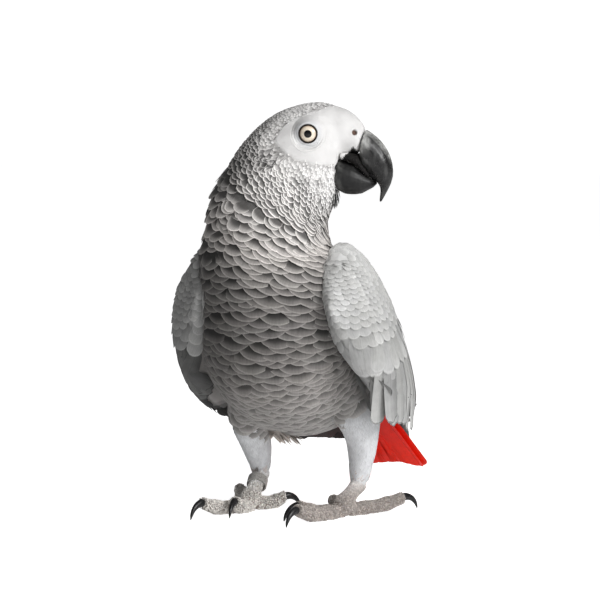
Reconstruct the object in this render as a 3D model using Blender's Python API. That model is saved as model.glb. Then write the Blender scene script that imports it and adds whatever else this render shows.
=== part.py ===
"""Grey parrot, standing still at life size, as a museum model.

The bird faces -Y with its left side at +X and its head turned to its left.
Each named part is one closed solid, and neighbours keep a gap of 0.3 mm.
Shapes are lofts through a few stations, and all sizes are in metres.
"""
import math

import bmesh
import bpy
import numpy as np
from mathutils import Matrix, Vector

MM = 0.001
GAP = 0.3 * MM

# Driving sizes
HEAD_YAW = 101.0          # degrees that the head is turned to the bird's left
EYE_RADIUS = 5.4 * MM
EYE_FROM_MIDDLE = 13.4 * MM
EYE_MIDDLE = Vector((13.2, -3.7, 183.6)) * MM
TAIL_FEATHERS = 12
TAIL_ROOT = Vector((0, 66, 55)) * MM
TAIL_TOWARD = Vector((0, 150.5, 1.6)) * MM      # the tail runs from its root towards this place
TAIL_LENGTH = 97.4 * MM
TAIL_ROOT_HALF = 12.5 * MM
TAIL_HALF_SPREAD = 15.5 * MM
TAIL_SWING = 3.5 * MM     # of the tail to the bird's left
TAIL_RIDGE = 4.5 * MM     # of the middle feathers above the outer ones
TAIL_THICKNESS = 2.6 * MM
TOE_RADIUS = 3.9 * MM
TOE_START = 3.2           # from the foot's middle to a toe's first ring, in mm
TOE_HEIGHT = 2.6          # of a toe's centre line at the foot, in mm
TOE_STATIONS = 8
CLAW_RADIUS = 2.3 * MM
CLAW_TIP = 0.28           # radius of a claw's end, in mm
CLAW_END = -84            # degrees that a claw's end points by, so nearly straight down
CLAW_STATIONS = 7
TOE_RISE = {1: 2.8, 2: 4.4, 3: 4.8, 4: 3.4}     # of each toe's end, in mm
CLAW_START = {1: 18, 2: 4, 3: 4, 4: 18}         # degrees that each claw first rises by
RING_HEIGHT = 4.6 * MM
RING_WALL = 0.7 * MM
RING_STATION = 3          # of the shank's ten rings, from the heel
RING_LOOSE = 1.1 * MM     # between the shank and the ring that hangs round it
RING_TILT = 14            # degrees that the ring hangs out of square with the shank
RING_BEAD = 0.16          # bevel of the ring's outer edges, in mm

# Triangle counts follow from these
BODY_SIDES = 24
BILL_SIDES = 18
WING_SIDES = 20
LEG_SIDES = 14
TOE_SIDES = 8
CLAW_SIDES = 8
RING_SIDES = 20
TAIL_ROWS = 5

# Body stations from face to tail, in mm and degrees:
# x, y, z, yaw, pitch, dorsal depth, ventral depth, half width.
# Pitch 0 has the station's dorsal side up, and 90 has it towards the bird's back.
BODY = {
    "face": (26.1, -1.3, 176.3, 101, -1, 19.3, 19.4, 12.5),
    "cheek": (20.8, -2.3, 176.2, 101, 8, 22.1, 22.6, 16.5),
    "brow": (14.9, -3.4, 174.8, 101, 21, 23.4, 24.8, 19.0),
    "crown": (8.5, -4.7, 170.9, 100, 34, 25.2, 26.0, 20.5),
    "nape": (2.8, -6.4, 164.4, 96, 47, 26.5, 26.2, 22.5),
    "collar": (-1.5, -9.2, 157.2, 82, 59, 27.2, 26.6, 25.0),
    "throat": (-4.6, -12.0, 149.7, 58, 70, 28.6, 28.0, 27.5),
    "neck": (-6.2, -13.8, 142.0, 34, 78, 29.4, 28.6, 28.2),
    "neck_base": (-6.2, -14.8, 130.1, 12, 85, 30.5, 29.6, 30.2),
    "shoulder": (-3.2, -14.6, 115.5, 2, 82, 33.0, 31.0, 36.6),
    "breast": (-2.6, -11.0, 102.0, 0, 70, 34.0, 32.5, 40.0),
    "middle": (-2.4, -2.0, 85.0, 0, 53, 38.0, 40.0, 41.0),
    "belly": (-1.4, 20.0, 68.0, 0, 30, 36.0, 36.0, 38.0),
    "vent": (-0.4, 45.0, 62.0, 0, 25, 27.0, 27.5, 29.5),
    "rump": (0.0, 68.0, 54.5, 0, 23, 13.5, 13.0, 17.0),
    "tail_root": (0.0, 82.0, 48.0, 0, 23, 5.0, 5.0, 10.0),
}

# Bare skin at the root of the upper bill, then the bill itself, as BODY's rows without the yaw.
CERE = (
    (26.7, -1.1, 183.8, -1, 12.1, 11.6, 11.8),
    (31.3, -0.2, 182.9, -7, 9.7, 10.4, 10.4),
    (34.4, 0.4, 181.3, -10, 7.9, 8.6, 9.6),
    (36.5, 0.8, 179.3, -15, 6.1, 6.5, 8.6),
)
UPPER_BILL = (
    (36.9, 0.9, 179.2, -15, 6.0, 6.4, 8.5),
    (39.2, 1.3, 175.8, -28, 7.2, 7.8, 8.3),
    (42.3, 2.0, 171.8, -35, 7.5, 8.1, 7.6),
    (45.3, 2.5, 167.4, -39, 6.8, 7.1, 6.6),
    (47.0, 2.9, 163.9, -44, 5.5, 5.5, 5.5),
    (47.8, 3.0, 160.4, -50, 4.1, 4.1, 4.2),
    (47.3, 2.9, 156.9, -55, 2.9, 2.9, 3.0),
    (46.2, 2.7, 153.9, -60, 1.8, 1.8, 1.9),
    (45.0, 2.5, 150.5, -67, 0.6, 0.6, 0.7),
)
LOWER_BILL = (
    (25.0, -1.4, 163.9, -5, 7.3, 7.3, 10.6),
    (29.0, -0.6, 162.6, -9, 7.7, 8.3, 10.2),
    (32.8, 0.1, 161.7, -7, 7.1, 7.8, 9.2),
    (36.2, 0.8, 160.7, -1, 5.7, 6.3, 7.8),
    (39.5, 1.4, 160.1, 7, 3.6, 3.6, 5.8),
    (42.1, 1.9, 159.8, 15, 1.8, 1.8, 3.4),
    (43.3, 2.2, 159.7, 21, 0.5, 0.5, 1.2),
)
# What shows between the two halves of the bill
PALATE = (
    (27.0, -1.0, 172.7, 0, 2.4, 2.4, 8.8),
    (31.9, -0.1, 171.9, 0, 3.2, 3.2, 8.6),
    (34.7, 0.5, 170.2, -2, 4.0, 4.0, 8.0),
    (37.5, 1.0, 166.1, -6, 2.8, 2.8, 6.8),
    (40.1, 1.5, 163.1, -5, 2.2, 2.2, 5.4),
)

# Wing stations from wrist to tip, in mm and degrees for the left wing:
# y, distance from the middle, lowest and highest point, half thickness, inward lean.
WING = (
    (-37.5, 34.5, 98.0, 104.0, 0.8, 18),
    (-36.0, 35.0, 88.0, 114.0, 5.4, 18),
    (-29.0, 38.0, 76.0, 122.0, 10.6, 20),
    (-10.0, 40.0, 59.0, 131.0, 13.0, 20),
    (20.0, 38.5, 48.0, 121.5, 12.0, 20),
    (50.0, 30.7, 42.0, 104.0, 9.2, 22),
    (80.0, 20.8, 35.5, 81.0, 6.3, 24),
    (110.0, 13.8, 29.0, 57.0, 4.0, 22),
    (135.0, 10.0, 22.0, 37.0, 2.6, 18),
    (152.0, 7.5, 14.5, 20.5, 1.2, 14),
)
# The right wing is held a little closer in and more upright than the left one, and sags behind the wrist.
WING_TUCK = {"left": 0.0, "right": 0.3}
WING_UPRIGHT = {"left": 0.0, "right": 9.0}
WING_LIFT = {"left": 0.0, "right": 1.5}
WING_SAG = {"left": 0.0, "right": 12.5}
WING_SAG_FROM, WING_SAG_TO = -10.0, 155.0
PRIMARIES_FROM = 96 * MM

# Legs: the feathered thigh and the bare shank as x, y, z, radius across and radius along, in mm.
LEGS = {
    "left": {
        "thigh": (
            (26.0, 2.0, 64.0, 8.0, 11.0),
            (31.6, 7.0, 50.0, 10.4, 13.0),
            (32.4, 12.0, 36.0, 7.8, 9.6),
            (30.9, 14.6, 22.0, 5.6, 6.4),
            (30.0, 15.4, 14.2, 4.4, 4.7),
        ),
        "shank": (
            (29.7, 14.6, 12.4, 3.7, 3.7),
            (29.9, 8.0, 10.8, 3.1, 3.2),
            (30.1, -1.0, 8.2, 3.4, 3.5),
            (30.3, -9.0, 5.2, 5.0, 4.9),
            (30.3, -14.0, 4.2, 3.4, 3.2),
        ),
        # Toe number: bearing in degrees, from straight ahead to the bird's right, and length.
        "toes": {1: (146, 18), 2: (36, 25), 3: (15, 37), 4: (-146, 35)},
    },
    "right": {
        "thigh": (
            (-18.0, -3.0, 64.0, 8.0, 11.0),
            (-22.0, 1.5, 50.0, 10.8, 13.0),
            (-22.0, 8.0, 36.0, 8.3, 10.0),
            (-21.7, 13.4, 24.0, 5.8, 6.5),
            (-21.3, 15.4, 17.6, 4.4, 4.8),
        ),
        "shank": (
            (-21.0, 15.4, 15.8, 3.7, 3.7),
            (-20.2, 8.6, 13.0, 3.1, 3.2),
            (-19.5, 1.4, 9.4, 3.3, 3.4),
            (-18.9, -5.5, 5.6, 4.9, 4.8),
            (-18.9, -10.5, 4.4, 3.4, 3.2),
        ),
        "toes": {1: (-136, 18), 2: (-3, 22), 3: (18, 35), 4: (149, 31)},
    },
}


# ---------------------------------------------------------------- materials


def material(name, color, roughness=0.6, metallic=0.0):
    """One Principled material for one part."""
    made = bpy.data.materials.new(name)
    made.use_nodes = True
    shader = made.node_tree.nodes["Principled BSDF"]
    shader.inputs["Base Color"].default_value = (*color, 1.0)
    shader.inputs["Roughness"].default_value = roughness
    shader.inputs["Metallic"].default_value = metallic
    return made


GREY = (0.42, 0.42, 0.43)
DARK_GREY = (0.10, 0.10, 0.11)
WHITE = (0.80, 0.79, 0.77)
RED = (0.75, 0.03, 0.02)
BLACK = (0.02, 0.02, 0.02)
SKIN = (0.38, 0.33, 0.31)
IRIS = (0.75, 0.70, 0.52)
SILVER = (0.60, 0.60, 0.60)


# ---------------------------------------------------------------- lofts


def smooth_rows(rows, at):
    """Rows of numbers read at even steps, 0 to 1, of a smooth curve through the rows."""
    rows = np.asarray(rows, float)
    knots = np.concatenate([[0], np.cumsum(np.linalg.norm(np.diff(rows[:, :3], axis=0), axis=1))])
    knots = knots / knots[-1]
    step = np.diff(knots)[:, None]
    slope = np.diff(rows, axis=0) / step
    inner = (slope[1:] * step[:-1] + slope[:-1] * step[1:]) / (step[1:] + step[:-1])
    tangent = np.vstack([slope[:1], inner, slope[-1:]])
    at = np.clip(np.asarray(at, float), 0, 1)
    i = np.clip(np.searchsorted(knots, at, side="right") - 1, 0, len(knots) - 2)
    h = step[i]
    t = ((at - knots[i]) / h[:, 0])[:, None]
    return (
        rows[i] * (2 * t**3 - 3 * t**2 + 1)
        + tangent[i] * h * (t**3 - 2 * t**2 + t)
        + rows[i + 1] * (3 * t**2 - 2 * t**3)
        + tangent[i + 1] * h * (t**3 - t**2)
    )


def knot_of(rows, index):
    """Where along smooth_rows' 0 to 1 the row with this index lies."""
    rows = np.asarray(rows, float)
    steps = np.linalg.norm(np.diff(rows[:, :3], axis=0), axis=1)
    return steps[:index].sum() / steps.sum()


def station_axes(yaw, pitch):
    """Lateral (the bird's left), dorsal and tailward directions of a body station."""
    yaw, pitch = math.radians(yaw), math.radians(pitch)
    lateral = Vector((math.cos(yaw), math.sin(yaw), 0))
    backward = Vector((-math.sin(yaw), math.cos(yaw), 0))
    dorsal = Vector((0, 0, math.cos(pitch))) + backward * math.sin(pitch)
    return lateral, dorsal, dorsal.cross(lateral)


def body_ring(row, sides, shift=0.0):
    """One closed ring of a station row, moved tailwards by shift."""
    lateral, dorsal, tailward = station_axes(row[3], row[4])
    centre = Vector(row[:3]) * MM + tailward * shift
    ring = []
    for k in range(sides):
        angle = 2 * math.pi * k / sides
        depth = row[5] if math.cos(angle) > 0 else row[6]
        across = lateral * (row[7] * math.sin(angle) * MM)
        ring.append(centre + across + dorsal * (depth * math.cos(angle) * MM))
    return ring


def solid(name, rings, paint, floor=None):
    """A closed solid through the rings, with flat ends, as a named object."""
    sides = len(rings[0])
    mesh = bmesh.new()
    rows = [[mesh.verts.new(point) for point in ring] for ring in rings]
    for near, far in zip(rows, rows[1:]):
        for k in range(sides):
            mesh.faces.new((near[k], near[(k + 1) % sides], far[(k + 1) % sides], far[k]))
    mesh.faces.new(rows[0][::-1])
    mesh.faces.new(rows[-1])
    if floor is not None:
        for vert in mesh.verts:
            vert.co.z = max(vert.co.z, floor)
    bmesh.ops.triangulate(mesh, faces=mesh.faces[:])
    bmesh.ops.recalc_face_normals(mesh, faces=mesh.faces[:])
    if mesh.calc_volume(signed=True) < 0:
        bmesh.ops.reverse_faces(mesh, faces=mesh.faces[:])
    data = bpy.data.meshes.new(name)
    mesh.to_mesh(data)
    mesh.free()
    data.materials.append(paint)
    data.shade_smooth()
    data.set_sharp_from_angle(angle=math.radians(50))
    made = bpy.data.objects.new(name, data)
    bpy.context.scene.collection.objects.link(made)
    return made


def swept_rings(rows, sides, upright_end=False):
    """Rings square to a path of x, y, z, radius across and radius upright, in mm."""
    points = [Vector(row[:3]) for row in rows]
    rings = []
    for k, row in enumerate(rows):
        run = points[min(k + 1, len(points) - 1)] - points[max(k - 1, 0)]
        if upright_end and k == len(rows) - 1:
            run.z = 0
        run.normalize()
        side = run.cross(Vector((0, 0, 1)))
        if side.length < 0.2:
            side = Vector((1, 0, 0))
        side.normalize()
        upright = side.cross(run)
        ring = []
        for j in range(sides):
            angle = 2 * math.pi * j / sides
            offset = side * (row[3] * math.cos(angle)) + upright * (row[4] * math.sin(angle))
            ring.append((points[k] + offset) * MM)
        rings.append(ring)
    return rings


# ---------------------------------------------------------------- cuts


def swollen_copy(source, by):
    """A hidden copy of an object's shape, grown along its normals, to cut a gap with."""
    graph = bpy.context.evaluated_depsgraph_get()
    data = bpy.data.meshes.new_from_object(source.evaluated_get(graph))
    mesh = bmesh.new()
    mesh.from_mesh(data)
    mesh.normal_update()
    moves = [(vert, vert.normal * (by * min(vert.calc_shell_factor(), 2))) for vert in mesh.verts]
    for vert, move in moves:
        vert.co += move
    mesh.to_mesh(data)
    mesh.free()
    cutter = bpy.data.objects.new("cutter_" + source.name, data)
    bpy.context.scene.collection.objects.link(cutter)
    cutter.matrix_world = source.matrix_world
    cutter.hide_render = True
    cutter.display_type = "WIRE"
    return cutter


def carve(target, neighbours):
    """Cuts the neighbours' shapes and a small gap round them out of the target."""
    for neighbour in neighbours:
        cutter = swollen_copy(neighbour, GAP)
        cut = target.modifiers.new("gap_to_" + neighbour.name, "BOOLEAN")
        cut.operation = "DIFFERENCE"
        cut.solver = "EXACT"
        cut.object = cutter
    bpy.context.view_layer.update()


def keep_largest(target):
    """Applies the cuts and keeps the largest body that they leave."""
    graph = bpy.context.evaluated_depsgraph_get()
    data = bpy.data.meshes.new_from_object(target.evaluated_get(graph))
    target.modifiers.clear()
    mesh = bmesh.new()
    mesh.from_mesh(data)
    bmesh.ops.triangulate(mesh, faces=mesh.faces[:])
    left = set(mesh.verts)
    bodies = []
    while left:
        found, open_list = set(), [left.pop()]
        while open_list:
            vert = open_list.pop()
            found.add(vert)
            for edge in vert.link_edges:
                other = edge.other_vert(vert)
                if other in left:
                    left.remove(other)
                    open_list.append(other)
        bodies.append(found)
    bodies.sort(key=len)
    for body in bodies[:-1]:
        bmesh.ops.delete(mesh, geom=list(body), context="VERTS")
    mesh.to_mesh(data)
    mesh.free()
    target.data = data
    bpy.context.view_layer.update()


# ---------------------------------------------------------------- parts


def make_body():
    """Head, neck and trunk: one loft parted by two thin plane cuts."""
    rows = list(BODY.values())
    names = list(BODY)
    neck_at = knot_of(rows, names.index("collar"))
    trunk_at = knot_of(rows, names.index("neck_base"))
    spans = (
        ("head", 0.0, neck_at, 13, GREY),
        ("neck", neck_at, trunk_at, 7, GREY),
        ("trunk", trunk_at, 1.0, 18, GREY),
    )
    made = {}
    for name, start, stop, count, color in spans:
        stations = smooth_rows(rows, np.linspace(start, stop, count))
        rings = [body_ring(row, BODY_SIDES) for row in stations]
        if start > 0:
            rings[0] = body_ring(stations[0], BODY_SIDES, GAP / 2)
        if stop < 1:
            rings[-1] = body_ring(stations[-1], BODY_SIDES, -GAP / 2)
        made[name] = solid(name, rings, material(name, color))
    return made


def make_bill_piece(name, rows, count, color, roughness):
    """The cere or one half of the bill, with its stations' yaw that of the head."""
    rows = [(*row[:3], HEAD_YAW, *row[3:]) for row in rows]
    stations = smooth_rows(rows, np.linspace(0, 1, count))
    rings = [body_ring(row, BILL_SIDES) for row in stations]
    return solid(name, rings, material(name, color, roughness))


def make_eye(side):
    """One eyeball, sunk in its side of the head."""
    lateral = station_axes(HEAD_YAW, 0)[0]
    sign = 1 if side == "left" else -1
    mesh = bmesh.new()
    bmesh.ops.create_uvsphere(mesh, u_segments=12, v_segments=8, radius=EYE_RADIUS)
    data = bpy.data.meshes.new("eye_" + side)
    mesh.to_mesh(data)
    mesh.free()
    data.materials.append(material("eye_" + side, IRIS, 0.1))
    data.shade_smooth()
    eye = bpy.data.objects.new("eye_" + side, data)
    bpy.context.scene.collection.objects.link(eye)
    eye.location = EYE_MIDDLE + lateral * (sign * EYE_FROM_MIDDLE)
    bpy.context.view_layer.update()
    return eye


def wing_ring(row, side, sides):
    """One upright oval section of a folded wing, leaning in at its top."""
    y, middle, low, high, thick, lean = row
    sign = 1 if side == "left" else -1
    lean = math.radians(lean - WING_UPRIGHT[side])
    sag = min(max((y - WING_SAG_FROM) / (WING_SAG_TO - WING_SAG_FROM), 0), 1)
    lift = WING_LIFT[side] - WING_SAG[side] * math.sin(math.pi * sag)
    middle -= WING_TUCK[side]
    up = Vector((-sign * math.sin(lean), 0, math.cos(lean)))
    out = Vector((sign * math.cos(lean), 0, math.sin(lean)))
    half = (high - low) / 2 / math.cos(lean)
    centre = Vector((sign * middle, y, (high + low) / 2 + lift))
    ring = []
    for k in range(sides):
        angle = 2 * math.pi * k / sides
        rise, bulge = math.cos(angle), math.sin(angle)
        flat = math.copysign(abs(bulge) ** 0.9, bulge)
        ring.append((centre + up * (half * rise) + out * (thick * flat)) * MM)
    return ring


def make_wing(side, neighbours):
    """Coverts and arm of a folded wing, and the long flight feathers behind them."""
    rows = np.asarray(WING, float)
    swapped = [(0, row[0], 0, *row[1:]) for row in rows]
    ends = [row[1] * MM for row in swapped]
    part = (PRIMARIES_FROM - ends[0]) / (ends[-1] - ends[0])
    spans = (
        ("wing_" + side, 0.0, part, 13, GREY, -GAP / 2),
        ("primaries_" + side, part, 1.0, 7, DARK_GREY, GAP / 2),
    )
    made = []
    for name, start, stop, count, color, shift in spans:
        stations = smooth_rows(swapped, np.linspace(start, stop, count))
        rings = [wing_ring([row[1], *row[3:]], side, WING_SIDES) for row in stations]
        seam = rings[-1] if shift < 0 else rings[0]
        for point in seam:
            point.y += shift
        wing = solid(name, rings, material(name, color))
        carve(wing, neighbours)
        keep_largest(wing)
        made.append(wing)
    return made


def make_tail(trunk):
    """A closed fan of tail feathers: a ridged plate with a notch between each two tips."""
    run = (TAIL_TOWARD - TAIL_ROOT).normalized() * TAIL_LENGTH
    down = Vector((0, run.z, -run.y)).normalized()
    steps = 2 * TAIL_FEATHERS
    rings = []
    for i in range(TAIL_ROWS):
        along = i / (TAIL_ROWS - 1)
        half = TAIL_ROOT_HALF * (1 - along) + TAIL_HALF_SPREAD * along
        ring_up, ring_low = [], []
        for k in range(steps + 1):
            across = 2 * k / steps - 1
            ridge = (1 - across**2) * TAIL_RIDGE * (0.5 + 0.5 * along)
            feather = k % 2
            reach = 1 - (0.03 * across**2 + 0.022 * (1 - feather)) * along**4
            centre = TAIL_ROOT + run * (along * reach) - down * ridge
            centre.x = across * half + TAIL_SWING
            thick = TAIL_THICKNESS * (1.25 - 0.55 * along) * (0.75 + 0.25 * feather) / 2
            ring_up.append(centre - down * thick)
            ring_low.append(centre + down * thick)
        rings.append(ring_up + ring_low[::-1])
    tail = solid("tail", rings, material("tail", RED))
    carve(tail, (trunk,))
    keep_largest(tail)
    return tail


def toe_path(foot, bearing, length, rise):
    """Centre line of a toe, in mm: it rests on the floor near the foot and rises to its claw."""
    angle = math.radians(bearing)
    away = Vector((-math.sin(angle), -math.cos(angle), 0))
    rows = []
    for k in range(TOE_STATIONS):
        along = k / (TOE_STATIONS - 1)
        reach = TOE_START + (length - TOE_START) * along
        pads = 1 + 0.10 * math.cos(2 * math.pi * (along * 2.6 + 0.15))
        radius = TOE_RADIUS / MM * (1 - 0.24 * along) * pads
        point = foot + away * reach
        rows.append((point.x, point.y, TOE_HEIGHT + rise * along**2.6, radius, radius * 0.95))
    return rows, away


def keep_in_sector(rings, foot, away, bearing, others):
    """Holds a toe on its own side of the lines that halve the angles to the toes beside it."""
    side = away.cross(Vector((0, 0, 1)))
    turns = [(other - bearing) % 360 for other in others]
    to_next = math.radians(min(min(turns) / 2, 80))
    to_last = math.radians(min((360 - max(turns)) / 2, 80))
    for ring in rings:
        for point in ring:
            offset = point - foot
            reach, across = offset.dot(away), offset.dot(side)
            most = reach * math.tan(to_next) - GAP / 2 / math.cos(to_next)
            least = GAP / 2 / math.cos(to_last) - reach * math.tan(to_last)
            point += side * (min(max(across, least), most) - across)


def claw_rings(base, away, start):
    """A claw as an arc that leaves the toe at pitch start and comes down to the floor."""
    end = math.radians(CLAW_END)
    root = CLAW_RADIUS / MM
    arc = (base.z - CLAW_TIP) / (math.cos(start) - math.cos(end))
    side = away.cross(Vector((0, 0, 1)))
    rings = []
    for k in range(CLAW_STATIONS):
        along = k / (CLAW_STATIONS - 1)
        pitch = start + (end - start) * along
        point = base + away * (arc * (math.sin(start) - math.sin(pitch)))
        point.z += arc * (math.cos(pitch) - math.cos(start))
        face = pitch if k else 0.0
        upright = Vector((0, 0, math.cos(face))) - away * math.sin(face)
        size = CLAW_TIP + (root - CLAW_TIP) * (1 - along) ** 0.75
        ring = []
        for j in range(CLAW_SIDES):
            angle = 2 * math.pi * j / CLAW_SIDES
            offset = side * (0.85 * size * math.cos(angle)) + upright * (size * math.sin(angle))
            ring.append((point + offset) * MM)
        rings.append(ring)
    return rings


def make_leg(side, trunk, wing):
    """Thigh, shank, four toes and four claws of one leg."""
    sizes = LEGS[side]
    rows = smooth_rows(sizes["thigh"], np.linspace(0, 1, 9))
    thigh = solid("thigh_" + side, swept_rings(rows, LEG_SIDES), material("thigh_" + side, WHITE))
    rows = smooth_rows(sizes["shank"], np.linspace(0, 1, 9))
    shank = solid(
        "shank_" + side,
        swept_rings(rows, LEG_SIDES),
        material("shank_" + side, SKIN),
        floor=0.0,
    )
    carve(thigh, (trunk, shank, wing))
    keep_largest(thigh)
    foot = Vector(sizes["shank"][-2][:3])
    for number, (bearing, length) in sizes["toes"].items():
        rise, start = TOE_RISE[number], math.radians(CLAW_START[number])
        rows, away = toe_path(foot, bearing, length, rise)
        others = [turn for turn, _ in sizes["toes"].values() if turn != bearing]
        rings = swept_rings(rows, TOE_SIDES, upright_end=True)
        keep_in_sector(rings, foot * MM, away, bearing, others)
        name = f"toe_{side}_{number}"
        toe = solid(name, rings, material(name, SKIN), floor=0.0)
        carve(toe, (shank,))
        keep_largest(toe)
        name = f"claw_{side}_{number}"
        base = Vector(rows[-1][:3]) + away * (GAP / MM) + Vector((0, 0, 0.3))
        solid(name, claw_rings(base, away, start), material(name, BLACK, 0.35), floor=0.0)


def make_leg_ring(shank_rows):
    """The closed metal band that hangs round the right shank."""
    rows = smooth_rows(shank_rows, np.linspace(0, 1, 10))
    middle = Vector(rows[RING_STATION][:3])
    run = (Vector(rows[RING_STATION + 1][:3]) - Vector(rows[RING_STATION - 1][:3])).normalized()
    inner = max(rows[RING_STATION][3:5]) + RING_LOOSE / MM
    outer = inner + RING_WALL / MM
    half = RING_HEIGHT / MM / 2
    tilt = Matrix.Rotation(math.radians(RING_TILT), 3, "X")
    axis = tilt @ run
    side = axis.cross(Vector((0, 0, 1))).normalized()
    upright = side.cross(axis)
    profile = (
        (inner, -half),
        (outer - RING_BEAD, -half),
        (outer, -half + RING_BEAD),
        (outer, half - RING_BEAD),
        (outer - RING_BEAD, half),
        (inner, half),
    )
    mesh = bmesh.new()
    loops = []
    for j in range(RING_SIDES):
        angle = 2 * math.pi * j / RING_SIDES
        ray = side * math.cos(angle) + upright * math.sin(angle)
        loops.append([mesh.verts.new((middle + ray * r + axis * h) * MM) for r, h in profile])
    for j in range(RING_SIDES):
        near, far = loops[j], loops[(j + 1) % RING_SIDES]
        for k in range(len(profile)):
            n = (k + 1) % len(profile)
            mesh.faces.new((near[k], near[n], far[n], far[k]))
    bmesh.ops.triangulate(mesh, faces=mesh.faces[:])
    bmesh.ops.recalc_face_normals(mesh, faces=mesh.faces[:])
    if mesh.calc_volume(signed=True) < 0:
        bmesh.ops.reverse_faces(mesh, faces=mesh.faces[:])
    data = bpy.data.meshes.new("leg_ring")
    mesh.to_mesh(data)
    mesh.free()
    data.materials.append(material("leg_ring", SILVER, 0.35, 1.0))
    data.shade_smooth()
    data.set_sharp_from_angle(angle=math.radians(40))
    ring = bpy.data.objects.new("leg_ring", data)
    bpy.context.scene.collection.objects.link(ring)
    return ring


def stand_on_origin():
    """Moves everything so that the origin is the middle of the box's bottom face."""
    bpy.context.view_layer.update()
    corners = [
        obj.matrix_world @ vert.co
        for obj in bpy.context.scene.objects
        if not obj.hide_render and obj.type == "MESH"
        for vert in obj.data.vertices
    ]
    low = [min(corner[axis] for corner in corners) for axis in range(3)]
    high = [max(corner[axis] for corner in corners) for axis in range(3)]
    rig = bpy.data.objects.new("bird", None)
    bpy.context.scene.collection.objects.link(rig)
    for obj in bpy.context.scene.objects:
        if obj is not rig:
            obj.parent = rig
    rig.location = (-(low[0] + high[0]) / 2, -(low[1] + high[1]) / 2, -low[2])


def main():
    for obj in list(bpy.data.objects):
        bpy.data.objects.remove(obj, do_unlink=True)
    body = make_body()
    cere = make_bill_piece("cere", CERE, 6, WHITE, 0.6)
    upper = make_bill_piece("upper_bill", UPPER_BILL, 14, BLACK, 0.35)
    lower = make_bill_piece("lower_bill", LOWER_BILL, 9, BLACK, 0.35)
    palate = make_bill_piece("palate", PALATE, 5, BLACK, 0.5)
    eyes = [make_eye(side) for side in ("left", "right")]
    carve(lower, (upper,))
    keep_largest(lower)
    carve(palate, (cere, upper, lower))
    keep_largest(palate)
    carve(body["head"], (*eyes, lower))
    keep_largest(body["head"])
    tail = make_tail(body["trunk"])
    beside = (body["trunk"], body["neck"], tail)
    wings = {side: make_wing(side, beside) for side in ("left", "right")}
    for side in ("left", "right"):
        make_leg(side, body["trunk"], wings[side][0])
    make_leg_ring(LEGS["right"]["shank"])
    stand_on_origin()


main()
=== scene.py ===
"""Looks of the grey parrot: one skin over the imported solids, draped with feathers, scales and a face."""

import math

import bmesh
import bpy
import numpy as np
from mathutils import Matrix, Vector
from mathutils.bvhtree import BVHTree
from mathutils.kdtree import KDTree


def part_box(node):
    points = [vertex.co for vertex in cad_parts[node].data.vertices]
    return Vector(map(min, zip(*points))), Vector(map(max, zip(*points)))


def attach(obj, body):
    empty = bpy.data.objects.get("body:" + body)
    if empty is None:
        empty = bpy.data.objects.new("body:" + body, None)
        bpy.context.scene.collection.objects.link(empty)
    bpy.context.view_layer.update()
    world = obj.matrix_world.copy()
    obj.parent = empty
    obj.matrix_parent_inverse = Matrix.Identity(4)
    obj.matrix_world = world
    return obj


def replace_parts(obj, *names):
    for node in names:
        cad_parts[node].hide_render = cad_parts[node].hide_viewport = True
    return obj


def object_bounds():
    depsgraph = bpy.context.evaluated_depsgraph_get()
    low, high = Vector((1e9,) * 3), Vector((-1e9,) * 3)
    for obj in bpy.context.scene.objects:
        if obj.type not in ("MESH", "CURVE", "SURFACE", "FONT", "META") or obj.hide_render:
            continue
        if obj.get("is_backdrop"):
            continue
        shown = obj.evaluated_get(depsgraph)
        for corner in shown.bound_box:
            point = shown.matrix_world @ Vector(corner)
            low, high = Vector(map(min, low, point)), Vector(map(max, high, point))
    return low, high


MM = 0.001
UP = np.array([0.0, 0.0, 1.0])

# Each side's sign along x: the bird's left is +x.
SIDES = {"left": 1, "right": -1}
TOES = (1, 2, 3, 4)

# Guide surface: how far the solids are swollen so that they merge, and its grid.
SWELL = 0.35 * MM
GRID = 0.9 * MM
FINE_GRID = 0.42 * MM

# Stations down the body: the node whose box they are shares of, the share across, along and up,
# and the heading and pitch in degrees of the ring that stands there.
STATIONS = (
    ("head", 0.95, 0.65, 0.58, 101, -1),
    ("head", 0.85, 0.63, 0.58, 101, 8),
    ("head", 0.74, 0.61, 0.55, 101, 21),
    ("head", 0.62, 0.59, 0.48, 98, 34),
    ("head", 0.51, 0.55, 0.36, 86, 46),
    ("neck", 0.55, 0.59, 0.66, 70, 56),
    ("neck", 0.50, 0.54, 0.49, 48, 62),
    ("neck", 0.48, 0.51, 0.31, 30, 64),
    ("neck", 0.47, 0.49, 0.04, 18, 64),
    ("trunk", 0.48, 0.24, 0.82, 8, 62),
    ("trunk", 0.50, 0.26, 0.68, 4, 57),
    ("trunk", 0.50, 0.33, 0.50, 0, 47),
    ("trunk", 0.51, 0.50, 0.33, 0, 32),
    ("trunk", 0.52, 0.70, 0.27, 0, 25),
    ("trunk", 0.53, 0.88, 0.19, 0, 23),
    ("trunk", 0.53, 0.98, 0.12, 0, 23),
)

# Rings down the body's map, and places round each ring.
BODY_STEPS = 260
BODY_SPOKES = 180

# Thigh lines: shares of the thigh's box across, along and up, from hip to heel.
THIGH_LINES = {
    "left": ((0.18, 0.28, 0.96), (0.46, 0.47, 0.68), (0.50, 0.65, 0.41), (0.42, 0.75, 0.14),
             (0.38, 0.78, -0.01)),
    "right": ((0.75, 0.25, 1.31), (0.54, 0.39, 0.92), (0.54, 0.61, 0.53), (0.56, 0.78, 0.19),
              (0.58, 0.85, 0.01)),
}

# The head's own ways: forward along the bill, and beside it to the bird's right.
HEAD_HEADING = math.radians(101)
FORWARD = np.array([math.sin(HEAD_HEADING), -math.cos(HEAD_HEADING), 0.0])
BESIDE = np.array([-math.cos(HEAD_HEADING), -math.sin(HEAD_HEADING), 0.0])


# ---------------------------------------------------------------- small tools


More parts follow.
